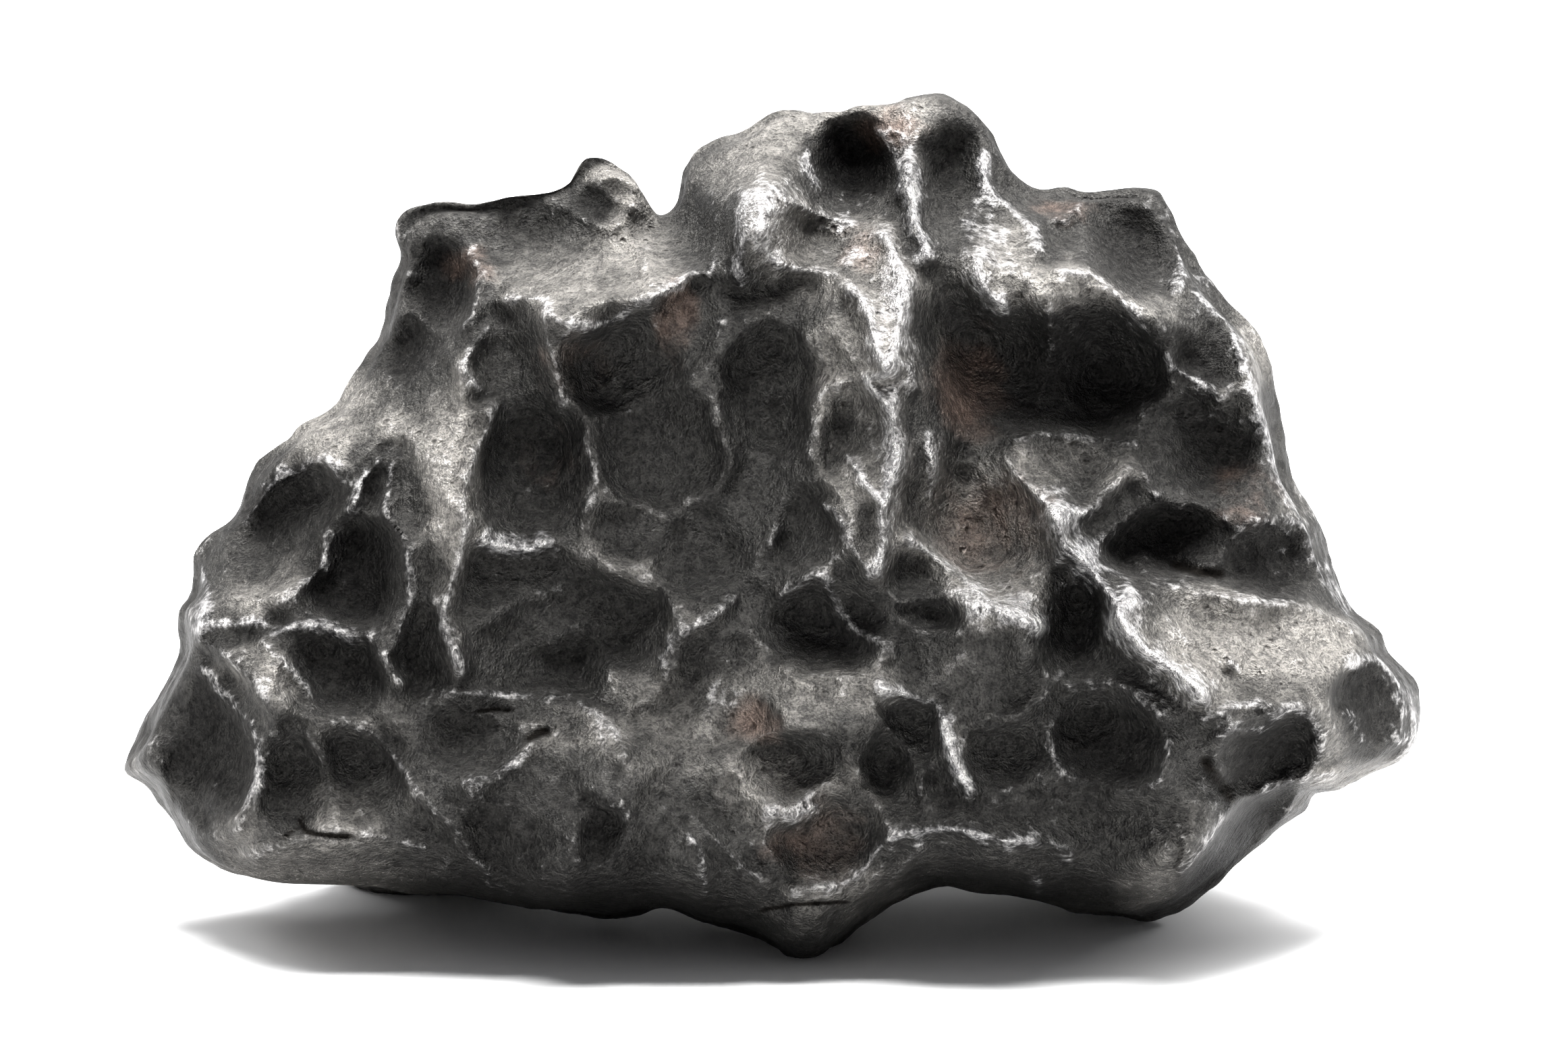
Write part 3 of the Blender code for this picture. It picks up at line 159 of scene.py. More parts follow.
# Crests: height, width to the left of the way they run, width to the right, polish, points
CRESTS = [
    (3.0, 10, 3, 0.6, [(-42, 101), (-35, 101), (-33, 98), (-30, 96.8), (-27, 96.8), (-24, 98), (-20, 100.3),
    (-17, 102), (-14, 103.5), (-10, 107)]),
    (5.0, 4.5, 9, 0.8, [(-4.7, 102), (-4.7, 108), (-4.6, 114), (-4.4, 119.5)]),
    (1.6, 3, 3, 0.3, [(-9.5, 103), (-8.7, 109.5), (-8.7, 113), (-9, 117), (-8, 119.5)]),
    (2.2, 2.5, 4, 0.35, [(-35, 101), (-34, 98), (-33.5, 94), (-32.5, 90), (-31.7, 86), (-33.5, 83)]),
    (4.5, 3, 10, 0.6, [(-43.5, 87), (-42.5, 84), (-43, 81), (-45, 77), (-46, 73), (-46.5, 70), (-46, 66), (-47, 62),
    (-48, 58), (-49.5, 53), (-49, 50), (-47, 46), (-46, 42)]),
    (2.0, 3.5, 3, 0.5, [(-43, 86.5), (-46.5, 90), (-45, 94), (-42, 98)]),
    (2.6, 5, 4, 1.3, [(-45.5, 66), (-44, 64.5), (-41, 63.5), (-38, 63), (-35, 63.5), (-32, 65.5)]),
    (1.6, 4, 4, 0.3, [(-30, 82), (-28, 79), (-27, 76), (-26.7, 73), (-28, 69), (-30, 67)]),
    (2.0, 2, 6, 0.5, [(-54, 41.5), (-46, 41.5), (-40, 41), (-34, 41), (-30, 40.3), (-27, 38.5), (-24, 36.5),
    (-22.5, 34), (-22, 31), (-21.5, 29)]),
    (2.4, 5, 3, 0.4, [(-48, 28.5), (-42, 29), (-40, 30), (-37, 32.5), (-34, 35)]),
    (2.2, 2.5, 6, 0.25, [(-17, 26), (-15, 23.5), (-12, 23), (-9.5, 21), (-6, 17), (-3, 14.5), (1.5, 13)]),
    (2.8, 5, 3, 0.7, [(1.5, 13), (4, 11.5), (7, 12.5), (10, 12.5), (12, 13), (14.5, 15), (16, 17.5), (19, 20),
    (28, 20.7), (31, 20.2), (36, 19), (40, 18.8), (43, 18.2), (47, 16)]),
    (2.2, 4, 3, 1.3, [(-3, 24.5), (-1, 24), (3, 22.8), (6, 24), (9, 25.5)]),
    (2.8, 3, 3.5, 0.8, [(14, 43.5), (18, 42), (22, 40.8), (25, 39.5), (26.3, 36), (27, 33), (28, 30), (29.5, 27),
    (30.3, 24.5)]),
    (1.8, 3, 4, 0.15, [(30, 36), (35, 37), (40, 40), (45, 46)]),
    (2.0, 3, 3, 0.15, [(10, 34), (13, 30), (15, 27), (17, 24.5)]),
    (1.8, 3, 3, 0.15, [(15, 40), (18, 35.5), (21, 32), (22.5, 28), (21, 25)]),
    (3.0, 4, 4, 0.22, [(43, 42), (48, 43), (54, 42), (58, 38), (59.5, 34), (59.5, 31.5), (58, 28.5), (54, 27),
    (51.5, 26.5), (50, 28)]),
    (7, 5, 4, 1, [(41, 70), (43, 67), (44, 64), (47, 61), (50, 58), (52, 55), (53, 52), (56, 48), (59, 46), (62, 44),
    (64, 42), (66, 39)]),
    (3.5, 3, 7, 0.7, [(19, 66), (25, 62), (30, 58), (33, 55), (37, 53), (40, 51.5), (43, 51)]),
    (2.6, 4, 3, 0.4, [(35, 79), (36, 76), (40, 71.5), (44, 69), (48, 69), (53, 74), (56, 77)]),
    (1.8, 3, 3, 0.3, [(35, 79.5), (42, 80.5), (50, 80), (57, 78.5)]),
    (2.2, 3, 4, 0.4, [(56, 77), (58, 72), (61, 72)]),
    (5.0, 3.5, 5, 1.2, [(24, 105), (23.5, 109.5), (22, 113), (21, 119), (20.5, 124)]),
    (4.0, 3, 4, 1.2, [(16, 113), (18, 109), (19.5, 105), (20, 101), (19, 96), (18, 92), (17, 88)]),
    (4.0, 3, 3, 1.2, [(10, 104), (13, 101.5), (15, 98), (15.5, 94), (17, 90), (15, 88), (18, 84), (19, 78), (18, 72),
    (17, 68), (17, 64), (15, 57)]),
    (3.2, 4, 4, 0.8, [(32, 126), (32.5, 121), (33.5, 118), (36, 115.5), (39, 113), (41, 109.5), (42, 106.5)]),
    (4.0, 4, 5, 1.3, [(31.5, 110), (31.5, 105), (33, 102), (35, 100.5), (38, 100.5)]),
    (2.5, 3, 3, 0.6, [(15, 129), (18, 125.5), (19.3, 121), (19.5, 118), (18, 115.5)]),
    (2.0, 3, 3, 0.7, [(5.5, 126), (6, 121), (9, 117)]),
    (2.5, 6, 3, 0.5, [(-4, 119.5), (1, 118), (4, 115.5), (8, 114), (12, 113), (14, 114.5)]),
    (2.2, 5, 3, 0.6, [(-1.5, 107), (1.5, 106), (6, 105.5), (10, 105)]),
    (3.0, 8, 3, 0.5, [(41, 105.5), (46, 105), (50, 104.5), (53, 102), (54.5, 99.5), (57, 96.5), (58.5, 96),
    (62, 97.5)]),
    (2.0, 3, 3, 0.3, [(41, 114), (45, 113.5), (48, 117)]),
    (2.2, 3, 4, 0.6, [(60, 117), (62, 112), (63, 107), (62.5, 104), (60, 101)]),
    (2.4, 3, 4, 0.5, [(59, 95), (61, 91), (65, 88.5), (69, 86), (71, 86)]),
    (3.6, 6, 4, 0.9, [(63, 103), (67, 100.5), (70, 97), (71.5, 93), (73, 88), (74, 84), (76.5, 78), (78, 73),
    (80, 70), (82, 66), (84, 62), (86, 58), (89, 54), (91, 51)]),
    (2.4, 3, 5, 0.35, [(54, 62), (58, 59), (65, 56.5), (72, 55.5), (80, 54.5), (86, 52.5), (91, 49)]),
    (2.0, 3, 4, 0.35, [(52, 57), (58, 54), (62, 50), (66, 48)]),
    (2.0, 3, 3, 0.2, [(56, 64), (58, 60)]),
    (1.8, 3, 3, 0.3, [(69, 65.5), (73, 67), (77, 66.5), (80, 64)]),
    (2.6, 2.5, 4, 0.3, [(5.5, 75), (6.5, 83), (8, 87), (13, 88.5)]),
    (2.2, 3, 3, 0.8, [(10.5, 79), (13, 75), (16, 71), (17.5, 69)]),
    (2.4, 3, 3, 0.15, [(-10, 85), (-8.5, 82), (-7, 78.5), (-6, 76), (-7, 73)]),
    (1.8, 2.5, 3, 0.25, [(1.5, 69.5), (0.5, 65), (0, 61)]),
    (2.0, 3, 3, 0.5, [(6, 71), (10, 68.5), (12, 64), (14, 60), (14.5, 57)]),
    (2.2, 3, 3, 0.45, [(0, 55), (4, 58), (7, 59), (9, 57), (10.5, 54), (14, 50), (20, 47.5)]),
    (1.8, 3, 4, 0.15, [(1, 43.5), (3, 45), (6, 44), (13, 44), (18, 47), (20, 48)]),
    (2.6, 3, 7, 0.5, [(-4, 57.5), (-8, 54), (-12, 51), (-15, 49.5), (-16, 45), (-15, 43)]),
    (2.0, 3, 3, 0.15, [(-17, 57), (-14.5, 54), (-14, 49), (-16, 43), (-22, 37.5)]),
    (2.2, 3, 3, 0.25, [(-54, 27), (-50, 23), (-47, 20.5), (-45, 17), (-43, 14), (-42.5, 10), (-41.5, 6.8)]),
    (1.6, 3, 3, 0.2, [(-43, 13.5), (-38, 9.5), (-33, 6.5)]),
    (2.0, 4, 4, 0.3, [(-81, 16), (-75, 18), (-66, 20), (-60, 20), (-55, 18.5), (-50, 17)]),
    (2.6, 3, 3, 0.35, [(-87, 47), (-84, 42), (-80, 37.5), (-78, 33), (-78, 28), (-80, 22), (-81, 18)]),
    (1.4, 2.5, 2.5, 0.5, [(-86, 49), (-79, 44), (-75, 38)]),
    (1.6, 2.5, 2.5, 0.3, [(-82, 49), (-76, 44), (-72, 38)]),
    (1.8, 2.5, 2.5, 0.4, [(-78, 50), (-73, 45), (-70, 41), (-69, 36)]),
    (1.8, 2.5, 2.5, 0.25, [(-77, 33), (-75.5, 34.8), (-71, 35), (-69.5, 34), (-66, 29)]),
    (1.8, 2.5, 2.5, 0.3, [(-69, 35.5), (-66, 37), (-61, 35.5), (-58, 33), (-55, 29), (-52, 24)]),
    (2.0, 3, 9, 0.7, [(-87, 50), (-85, 51.5), (-78, 52), (-76, 50.5), (-70, 51.5), (-65, 50), (-62, 47)]),
    (2.4, 3, 3, 0.8, [(-88.8, 62), (-87.5, 60), (-86, 57), (-86.5, 53), (-87, 50), (-87, 48)]),
    (2.4, 3, 3, 0.5, [(-83, 66), (-80, 68), (-76, 73), (-72, 75), (-68.5, 77), (-66, 75), (-65, 72)]),
    (3.0, 4, 3, 0.4, [(-67, 68), (-67.5, 66), (-67.7, 63), (-68.5, 60.5), (-72, 57), (-76, 53)]),
    (3.0, 3, 4, 0.3, [(-57, 78), (-58, 74), (-58, 68), (-56, 65), (-55, 62), (-54.7, 55), (-57, 49), (-58.3, 47),
    (-56, 43), (-54, 41.5)]),
    (2.0, 3, 3, 0.5, [(-64, 67), (-63, 71), (-62, 74), (-58, 78), (-56, 79.5)]),
    (2.4, 3, 3, 0.5, [(-57, 108), (-55.5, 105.5), (-56, 103)]),
    (2.4, 3, 3, 0.3, [(-47, 109), (-44, 105), (-45, 102), (-46, 98), (-49, 95.5)]),
    (1.2, 2.5, 4, 0.2, [(-29, 120), (-26, 118.5), (-23, 116), (-18, 114.5)]),
    (3.5, 3, 8, 0.4, [(70, 24.5), (67, 20), (64, 16), (61, 14.3), (60, 15.5)]),
    (2.8, 3, 3, 0.35, [(65, 34), (69, 36), (74, 36), (76, 38), (80, 39), (83, 35), (82, 30)]),
    (2.2, 3, 3, 0.6, [(62, 37), (66, 38), (70, 39.5), (74, 40), (75, 37.5)]),
    (2.0, 3, 3, 0.4, [(72, 26), (78, 28), (86, 29), (88, 28.5)]),
    (3.0, 3, 4, 0.6, [(86, 44), (92, 46.5), (97, 42), (99, 36), (95, 31)]),
    (2.2, 3, 3, 0.4, [(86, 40), (89, 36), (90, 31)]),
    (2.0, 3, 3, 0.5, [(40.5, 16), (40.3, 13), (41.5, 9)]),
    (1.8, 3, 3, 0.3, [(12, 10), (17, 12), (21, 16.5), (25, 18.5)]),
    (1.8, 3, 3, 0.3, [(-13.5, 21.5), (-11, 18), (-10, 14), (-10, 8)]),
    (1.4, 3, 3, 0.4, [(-20, 113), (-19, 108), (-20, 103)]), (1.4, 3, 2, 0.4, [(-44, 109), (-42, 106), (-41, 102.5)]),
    (1.6, 2.5, 2.5, 0.4, [(68, 48), (72, 43)]), (1.6, 2.5, 2.5, 0.4, [(73, 47), (75.5, 43)]),
]

# Lumps on the front: across, up, half width, half height, turn, height
LUMPS = [
    (-31, 51, 7, 3.5, 15, 2.2), (-15, 80, 4, 6, 30, 1.2), (-36, 74, 5, 3, 20, 1.0), (-1, 89, 3, 5, 10, 1.0),
    (-24, 45, 3.5, 3, 0, 3), (25, 76, 1.8, 5.5, 0, 3.5), (64, 104.5, 3, 3, 0, 1.5), (0, 114, 4.5, 5.5, 0, 4),
    (-25, 18, 14, 9, 0, 3), (-14, 13, 4, 6, 0, 3), (-84, 26, 2.5, 3, 0, 2), (93, 49, 2.5, 3, 0, 2),
    (-23, 120, 5, 3, -25, 3), (38, 46, 3, 3, 0, 2), (60, 25, 7, 8, 0, 3), (6, 4, 5, 4, 0, 2.5),
    (57, 12, 4, 3.5, 0, 2),
]

# Slopes rubbed free of the black crust, painted paler, partly as painted light on lit slopes, rims and the underside:
# across, up, half width, half height, turn, how much
PALE_AND_PAINTED_LIGHT_PATCHES = [
    (-32, 106, 14, 7, 8, 0.6), (-50, 111, 6, 6, 0, 0.3), (-42, 117.5, 14, 0.8, 3, 0.5), (30, 67, 12, 10, 0, 1.2),
    (12, 90, 6, 10, 0, 0.9), (12, 76, 5, 8, 0, 0.7), (12, 24, 10, 6, 0, 0.6), (10, 12, 10, 4, 0, 0.6),
    (26, 98, 4, 12, 0, 0.6), (-64, 24, 10, 6, 0, 0.5), (-64, 66, 6, 5, 0, 0.4), (10, 129, 14, 3, 3, 1.0),
    (-20, 109, 7, 8, 20, 0.9), (-23, 119, 6, 4, -25, 0.9),
    (-68, 84, 10, 6, 40, 1.0), (-59, 93, 4, 8, 20, 0.7), (-48, 74, 4.5, 15, 0, 1.0), (-57, 79, 5, 7, 0, 0.7),
    (-71, 61, 8, 4, 45, 0.9), (-80, 56, 5, 4, 0, 0.6), (-84, 42, 6, 5, -35, 0.8), (-76, 44, 5, 4, -30, 0.6),
    (-81, 20, 4, 7, 0, 0.7), (-64, 16, 18, 3.5, 3, 0.5), (-2, 124, 8, 6, 30, 0.6), (4, 111, 8, 6, 0, 0.9),
    (20, 126, 8, 6, 0, 0.6), (16, 100, 5, 22, 3, 0.9), (6, 103, 7, 4, 0, 0.8), (45, 103, 14, 5, -8, 1.0),
    (37, 107, 6, 7, 0, 0.9), (57, 102, 7, 5, 0, 0.9), (73, 91, 4, 14, -18, 0.9), (81, 72, 4, 12, -22, 0.6),
    (45, 76, 10, 4, 0, 0.8), (22, 68, 4, 10, 0, 0.8), (33, 57, 10, 5, -25, 1.0), (76, 49, 17, 6, -6, 1.3),
    (65, 46, 7, 6, 0, 0.9), (87, 46, 8, 5, -20, 0.8), (-30, 35, 10, 5, 0, 0.7), (-10, 38, 13, 7, 0, 0.7),
    (0, 27, 8, 6, 0, 0.9), (-15, 30, 8, 6, 0, 0.6), (0, 42, 14, 4, 0, 0.5), (16, 43, 14, 4, 0, 0.4),
    (-62, 12, 28, 5, 2, 0.8), (25, 9, 26, 4, 0, 0.5), (80, 22, 10, 6, 40, 0.4), (84, 36, 5, 6, 0, 0.6),
    (88, 27, 10, 4, 10, 0.7), (57, 12, 5, 4, 0, 0.7), (26, 16, 22, 3, 0, 0.35),
]

# Crests and knobs polished by handling: across, up, half width, half height, turn, how much
POLISHED = [
    (20.5, 115, 3, 12, 3, 1.0), (18, 97, 4.5, 17, 3, 1.1), (18, 76, 2.5, 14, 0, 1.1), (34, 108, 4, 9, 0, 0.9),
    (0, 113, 6, 7, 0, 0.9), (72, 92, 3, 10, -15, 0.6), (81, 70, 3, 14, -23, 0.6), (44, 67, 4, 6, 20, 1.2),
    (48, 61, 3, 8, 32, 1.2), (54, 52, 3.5, 8, 30, 1.2), (61, 44, 4, 8, 45, 1.2), (35, 54.5, 9, 3.2, -28, 1.2),
    (-8, 40, 3, 3, 0, 0.8),
    (-24, 36, 3, 4, 30, 0.6), (64, 103, 4, 4, 0, 0.7), (25, 76, 2, 6, 0, 0.9), (10, 111, 6, 9, 0, 0.6),
    (9, 66, 4, 3, -30, 0.5), (97, 38, 2.5, 7, 0, 0.5),
]

# Hollows that keep their black crust, and painted shade under overhanging rims and in the deep hollows: across, up,
# half width, half height, turn, how much
SOOT_AND_PAINTED_SHADE_PATCHES = [
    (-51, 103, 6, 8, 0, 1.0), (-55, 94, 5, 7, -20, 1.0), (56, 110, 8, 8.5, 0, 1.0), (12.5, 122, 6.5, 7, 0, 1.0),
    (27, 118, 4.5, 9, 0, 0.6), (91, 40, 5.5, 8, -10, 1.0), (-86, 33, 8.5, 13.5, 6, 1.0), (-76, 69, 9, 6, 50, 1.0),
    (-64, 60, 9, 10, 0, 1.0), (67, 80, 9, 10, 0, 0.8), (66, 92, 6, 6, 0, 1.0),
    (47, 91, 14, 10, 0, 1.0), (-28, 116.5, 4, 2.5, 0, 0.9), (-40, 114, 8, 1.8, -2, 0.5),
    (-38, 20, 15, 12, 0, 0.9), (-24, 15, 11, 12, 0, 0.9), (30, 24, 18, 6, 0, 0.6), (40, 13, 12, 4, 0, 0.7),
    (60, 64, 10, 6, 15, 1.0), (76, 62, 8, 6, -12, 1.0), (75, 33, 8.5, 5, 15, 1.0), (70, 17, 13, 4, 52, 1.0),
    (51, 34, 9, 8, 0, 1.0), (-60, 73, 4, 7, -35, 0.8), (46, 53, 3.5, 8, -35, 0.8), (43, 109.5, 4, 4, 0, 0.6),
    (-6, 103, 1.8, 9, 0, 0.8),
]

# Brown rust left in some hollows: across, up, half width, half height, turn, how much
RUSTED = [
    (33, 67, 11, 8, 0, 0.7), (30, 88, 6, 9, 0, 0.8), (-14, 98, 3, 7, 0, 0.8), (-2, 37, 5, 4, 0, 0.8),
    (7, 19, 9, 7, 0, 0.6), (18, 127, 6, 4, 0, 0.8), (-30, 92, 8, 6, 0, 0.5), (72, 72, 8, 6, 0, 0.5),
    (-46, 106, 5, 4, 0, 0.6), (14, 108, 5, 5, 0, 0.6), (44, 114, 8, 3, 0, 0.5), (-33, 78, 6, 6, 0, 0.4),
]

# Cracks: depth, width, points
CRACKS = [
    (0.9, 0.6, [(-70.5, 24), (-71, 21.5), (-68.5, 19.8), (-62, 20)]),
    (0.7, 0.5, [(-71, 21.5), (-74.5, 18.5)]),
    (1.2, 0.8, [(-38, 33.5), (-36, 34.8), (-34, 35.5), (-33, 34)]),
    (0.5, 0.4, [(-46, 38.5), (-42, 38.8), (-38, 38.3)]),
    (0.9, 0.8, [(-26, 6.5), (-21, 8), (-18, 8.5)]),
    (0.4, 0.4, [(-3, 8), (3, 9.3), (9, 9.8), (13, 10)]),
    (1.8, 1.1, [(65, 33), (66, 30), (68, 27), (70, 24)]),
    (1.4, 1.0, [(60, 61), (64, 60), (70, 59)]),
]

# Feet: across, back, radius, drop, mm
FEET = [(5, -20, 9, 1.0), (-58, 36, 15, 15.5), (56, 34, 15, 13.7)]


def smooth(value, low, high):
    share = np.clip((value - low) / (high - low), 0, 1)
    return share * share * (3 - 2 * share)


def curve(points, closed):
    """points joined by a smooth curve, six steps to each stretch"""
    points = np.array(points, float)
    if closed:
        points = np.vstack([points[-1:], points, points[:2]])
    else:
        points = np.vstack([2 * points[0] - points[1], points, 2 * points[-1] - points[-2]])
    steps = []
    for a, b, c, d in zip(points[:-3], points[1:-2], points[2:-1], points[3:]):
        for share in np.arange(6) / 6:
            steps.append(0.5 * (2 * b + (c - a) * share + (2 * a - 5 * b + 4 * c - d) * share ** 2
                                + (3 * b - a - 3 * c + d) * share ** 3))
    if not closed:
        steps.append(points[-2])
    return np.array(steps)


def near_line(across, up, line):
    """distance to a line, which side of it, how far along it, and its length"""
    nearest = np.full(across.shape, 1e9)
    side = np.zeros(across.shape)
    along = np.zeros(across.shape)
    walked = 0.0
    for start, end in zip(line[:-1], line[1:]):
        step = end - start
        length = max(np.hypot(*step), 1e-6)
        share = np.clip(((across - start[0]) * step[0] + (up - start[1]) * step[1]) / length ** 2, 0, 1)
        away_u = across - start[0] - share * step[0]
        away_w = up - start[1] - share * step[1]
        away = np.hypot(away_u, away_w)
        closer = away < nearest
        nearest = np.where(closer, away, nearest)
        side = np.where(closer, step[1] * away_u - step[0] * away_w, side)
        along = np.where(closer, walked + share * length, along)
        walked += length
    return nearest, side, along, walked


def through(points, across, up):
    """a smooth sheet through the given heights"""
    points = np.array(points, float)
    gaps = np.sqrt((points[:, None, 0] - points[:, 0]) ** 2 + (points[:, None, 1] - points[:, 1]) ** 2 + 49)
    middle = points[:, 2].mean()
    pulls = np.linalg.solve(gaps, points[:, 2] - middle)
    sheet = np.full(across.shape, middle)
    for (point_u, point_w, height), pull in zip(points, pulls):
        sheet += pull * np.sqrt((across - point_u) ** 2 + (up - point_w) ** 2 + 49)
    return sheet


def turned(across, up, middle_u, middle_w, half_u, half_w, turn):
    """square of the distance from a tilted oval's middle, 1 on its rim"""
    turn = np.radians(turn)
    right = (across - middle_u) * np.cos(turn) + (up - middle_w) * np.sin(turn)
    rise = (up - middle_w) * np.cos(turn) - (across - middle_u) * np.sin(turn)
    return (right / half_u) ** 2 + (rise / half_w) ** 2


# the blank: a ball of small triangles
bpy.ops.mesh.primitive_ico_sphere_add(subdivisions=8, radius=1.0)
stone = bpy.context.object
stone.name = "iron_stone"
stone.data.name = "iron_stone"
count = len(stone.data.vertices)
ball = np.empty(count * 3)
stone.data.vertices.foreach_get("co", ball)
ball = ball.reshape(-1, 3)

# its corners slid towards the front, where the finest detail is
squeeze = 1 - ball[:, 1] + FRONT_SHARE ** 2 * (1 + ball[:, 1])
ball[:, 0] *= 2 * FRONT_SHARE / squeeze
ball[:, 2] *= 2 * FRONT_SHARE / squeeze
ball[:, 1] = -(1 - ball[:, 1] - FRONT_SHARE ** 2 * (1 + ball[:, 1])) / squeeze

# the ball pressed out to the front outline
outline = curve(OUTLINE, True)
angles = np.arctan2(outline[:, 1] - CENTRE[1], outline[:, 0] - CENTRE[0])
reaches = np.hypot(outline[:, 0] - CENTRE[0], outline[:, 1] - CENTRE[1])
order = np.argsort(angles)
angles, reaches = angles[order], reaches[order]
angles = np.concatenate([angles - 2 * np.pi, angles, angles + 2 * np.pi])
reaches = np.tile(reaches, 3)


def blurred(angle, width):
    """reach of the outline at an angle, averaged over a few degrees each way"""
    total = weight = 0.0
    for away in np.linspace(-2, 2, 17):
        share = np.exp(-away * away / 2)
        total = total + share * np.interp(angle + away * width, angles, reaches)
        weight = weight + share
    return total / weight


radius = np.hypot(ball[:, 0], ball[:, 2])
angle = np.arctan2(ball[:, 2], ball[:, 0])
facing = -ball[:, 1]
near_rim = radius ** 4
even_reach = blurred(angle, np.radians(7))
reach = (blurred(angle, np.radians(0.25)) * radius ** 12 + blurred(angle, np.radians(2)) * (near_rim - radius ** 12)
         + even_reach * (1 - near_rim))
across = CENTRE[0] + reach * radius * np.cos(angle)
up = CENTRE[1] + reach * radius * np.sin(angle)
rounding = np.sqrt(1 - (1 - np.clip(even_reach * (1 - radius) / EDGE_ROUNDING, 0, 1)) ** 2)


def swirl(points, size, octaves, seed):
    """a soft random swell at each point, about -1 to 1"""
    start = Vector((seed * 7.3, seed * 3.1, seed * 5.7))
    return np.array([noise.fractal(Vector(point) / size + start, 1.0, 2.0, octaves) for point in points])


# no hollow is a true oval: the pattern is pushed about a little before it is cut
flat = np.column_stack([across, up, np.zeros(count)])
bent_u = across + 1.1 * swirl(flat, 11.0, 2, 1) + 0.5 * swirl(flat, 3.5, 2, 2)
bent_w = up + 1.1 * swirl(flat, 11.0, 2, 3) + 0.5 * swirl(flat, 3.5, 2, 4)
line_u = across + 0.4 * swirl(flat, 5.0, 2, 5)
line_w = up + 0.4 * swirl(flat, 5.0, 2, 6)

# hollows: crests between them are knife sharp in places, rounded in others
keen = np.full(count, np.exp(-PLATEAU / CREST_SOFTNESS))
blunt = np.full(count, np.exp(-PLATEAU / BLUNT_SOFTNESS))
for middle_u, middle_w, half_u, half_w, turn, depth in HOLLOWS:
    oval = depth * (turned(bent_u, bent_w, middle_u, middle_w, half_u, half_w, turn) ** BOWL - 1)
    keen += np.exp(-np.minimum(oval, 20) / CREST_SOFTNESS)
    blunt += np.exp(-np.minimum(oval, 20) / BLUNT_SOFTNESS)
shallow = np.random.default_rng(23)
for hollow in range(SHALLOW_HOLLOWS):
    oval = turned(bent_u, bent_w, shallow.uniform(-98, 98), shallow.uniform(4, 130), shallow.uniform(5, 10),
                  shallow.uniform(5, 10), shallow.uniform(0, 180))
    oval = shallow.uniform(1.0, 3.0) * (oval - 1) + 1.2
    keen += np.exp(-np.minimum(oval, 20) / CREST_SOFTNESS)
    blunt += np.exp(-np.minimum(oval, 20) / BLUNT_SOFTNESS)
keenness = smooth(swirl(flat, 14.0, 2, 7), -0.25, 0.35)
relief = -CREST_SOFTNESS * np.log(keen) * keenness - BLUNT_SOFTNESS * np.log(blunt) * (1 - keenness)


def beside(points, reach_out):
    """the corners of the mesh that a line comes near, as a mask"""
    low, high = points.min(axis=0) - reach_out, points.max(axis=0) + reach_out
    return (facing > 0) & (across > low[0]) & (across < high[0]) & (up > low[1]) & (up < high[1])


rubbed = np.zeros(count)
for height, left, right, polish, points in CRESTS:
    line = curve(points, False)
    near = beside(line, max(left, right) + 1)
    gap, side, along, length = near_line(line_u[near], line_w[near], line)
    width = np.where(side > 0, right, left)
    ends = smooth(along, 0, 3) * smooth(length - along, 0, 3)
    relief[near] += height * np.clip(1 - gap / width, 0, None) ** 1.7 * ends * (0.75 + 0.25 * keenness[near])
    rubbed[near] = np.maximum(rubbed[near], min(polish + 0.05, 1) * np.exp(-(gap / (0.5 + 1.6 * polish)) ** 2) * ends)
for middle_u, middle_w, half_u, half_w, turn, height in LUMPS:
    relief += height * np.exp(-turned(bent_u, bent_w, middle_u, middle_w, half_u, half_w, turn))

# small dents inside the large hollows, then an uneven skin
dents = np.random.default_rng(5)
for dent in range(DENTS):
    dent_u, dent_w = dents.uniform(-98, 98), dents.uniform(3, 130)
    half_u = dents.uniform(1.6, 5.5)
    half_w = half_u * dents.uniform(0.6, 1.3)
    depth = half_u * dents.uniform(0.05, 0.16)
    turn = dents.uniform(0, 180)
    near = beside(np.array([(dent_u, dent_w)]), 1.3 * max(half_u, half_w))
    oval = turned(bent_u[near], bent_w[near], dent_u, dent_w, half_u, half_w, turn)
    relief[near] -= depth * np.clip(1 - oval, 0, None)
relief += 0.55 * swirl(flat, 9.0, 3, 8) + 0.2 * swirl(flat, 2.6, 2, 9) + 0.07 * swirl(flat, 1.2, 1, 14)

coarse = np.zeros(count)
for middle_u, middle_w, half_u, half_w, turn, strength in PALE_AND_PAINTED_LIGHT_PATCHES:
    coarse = np.maximum(coarse, strength * np.exp(-turned(bent_u, bent_w, middle_u, middle_w, half_u, half_w, turn)))
relief += coarse * (0.5 * swirl(flat, 5.0, 3, 12) + 0.22 * swirl(flat, 1.8, 2, 13))

crack = np.zeros(count)
for depth, width, points in CRACKS:
    line = curve(points, False)
    near = beside(line, 3)
    gap, side, along, length = near_line(line_u[near], line_w[near], line)
    ends = smooth(along, 0, 2) * smooth(length - along, 0, 2)
    cut = np.exp(-(gap / width) ** 2) * ends
    relief[near] -= depth * cut
    crack[near] = np.maximum(crack[near], cut)

# front and back sheets joined round the outline
front = through(FRONT, across, up) + RELIEF * relief * smooth(facing, 0.04, 0.2)
back = -through(BACK, across, up)
edge = np.interp(np.degrees(angle), [turn for turn, out in EDGE], [out for turn, out in EDGE])
out = edge + (np.where(facing >= 0, front, back) - edge) * rounding
tip = np.radians(LEAN)
place = np.column_stack([
    across,
    up * np.sin(tip) - out * np.cos(tip),
    up * np.cos(tip) + out * np.sin(tip),
])
place *= MM


def put(points):
    """moves the stone's corners and returns the way each one faces"""
    stone.data.vertices.foreach_set("co", points.ravel())
    stone.data.update()
    ways = np.empty(count * 3)
    stone.data.vertices.foreach_get("normal", ways)
    return ways.reshape(-1, 3)


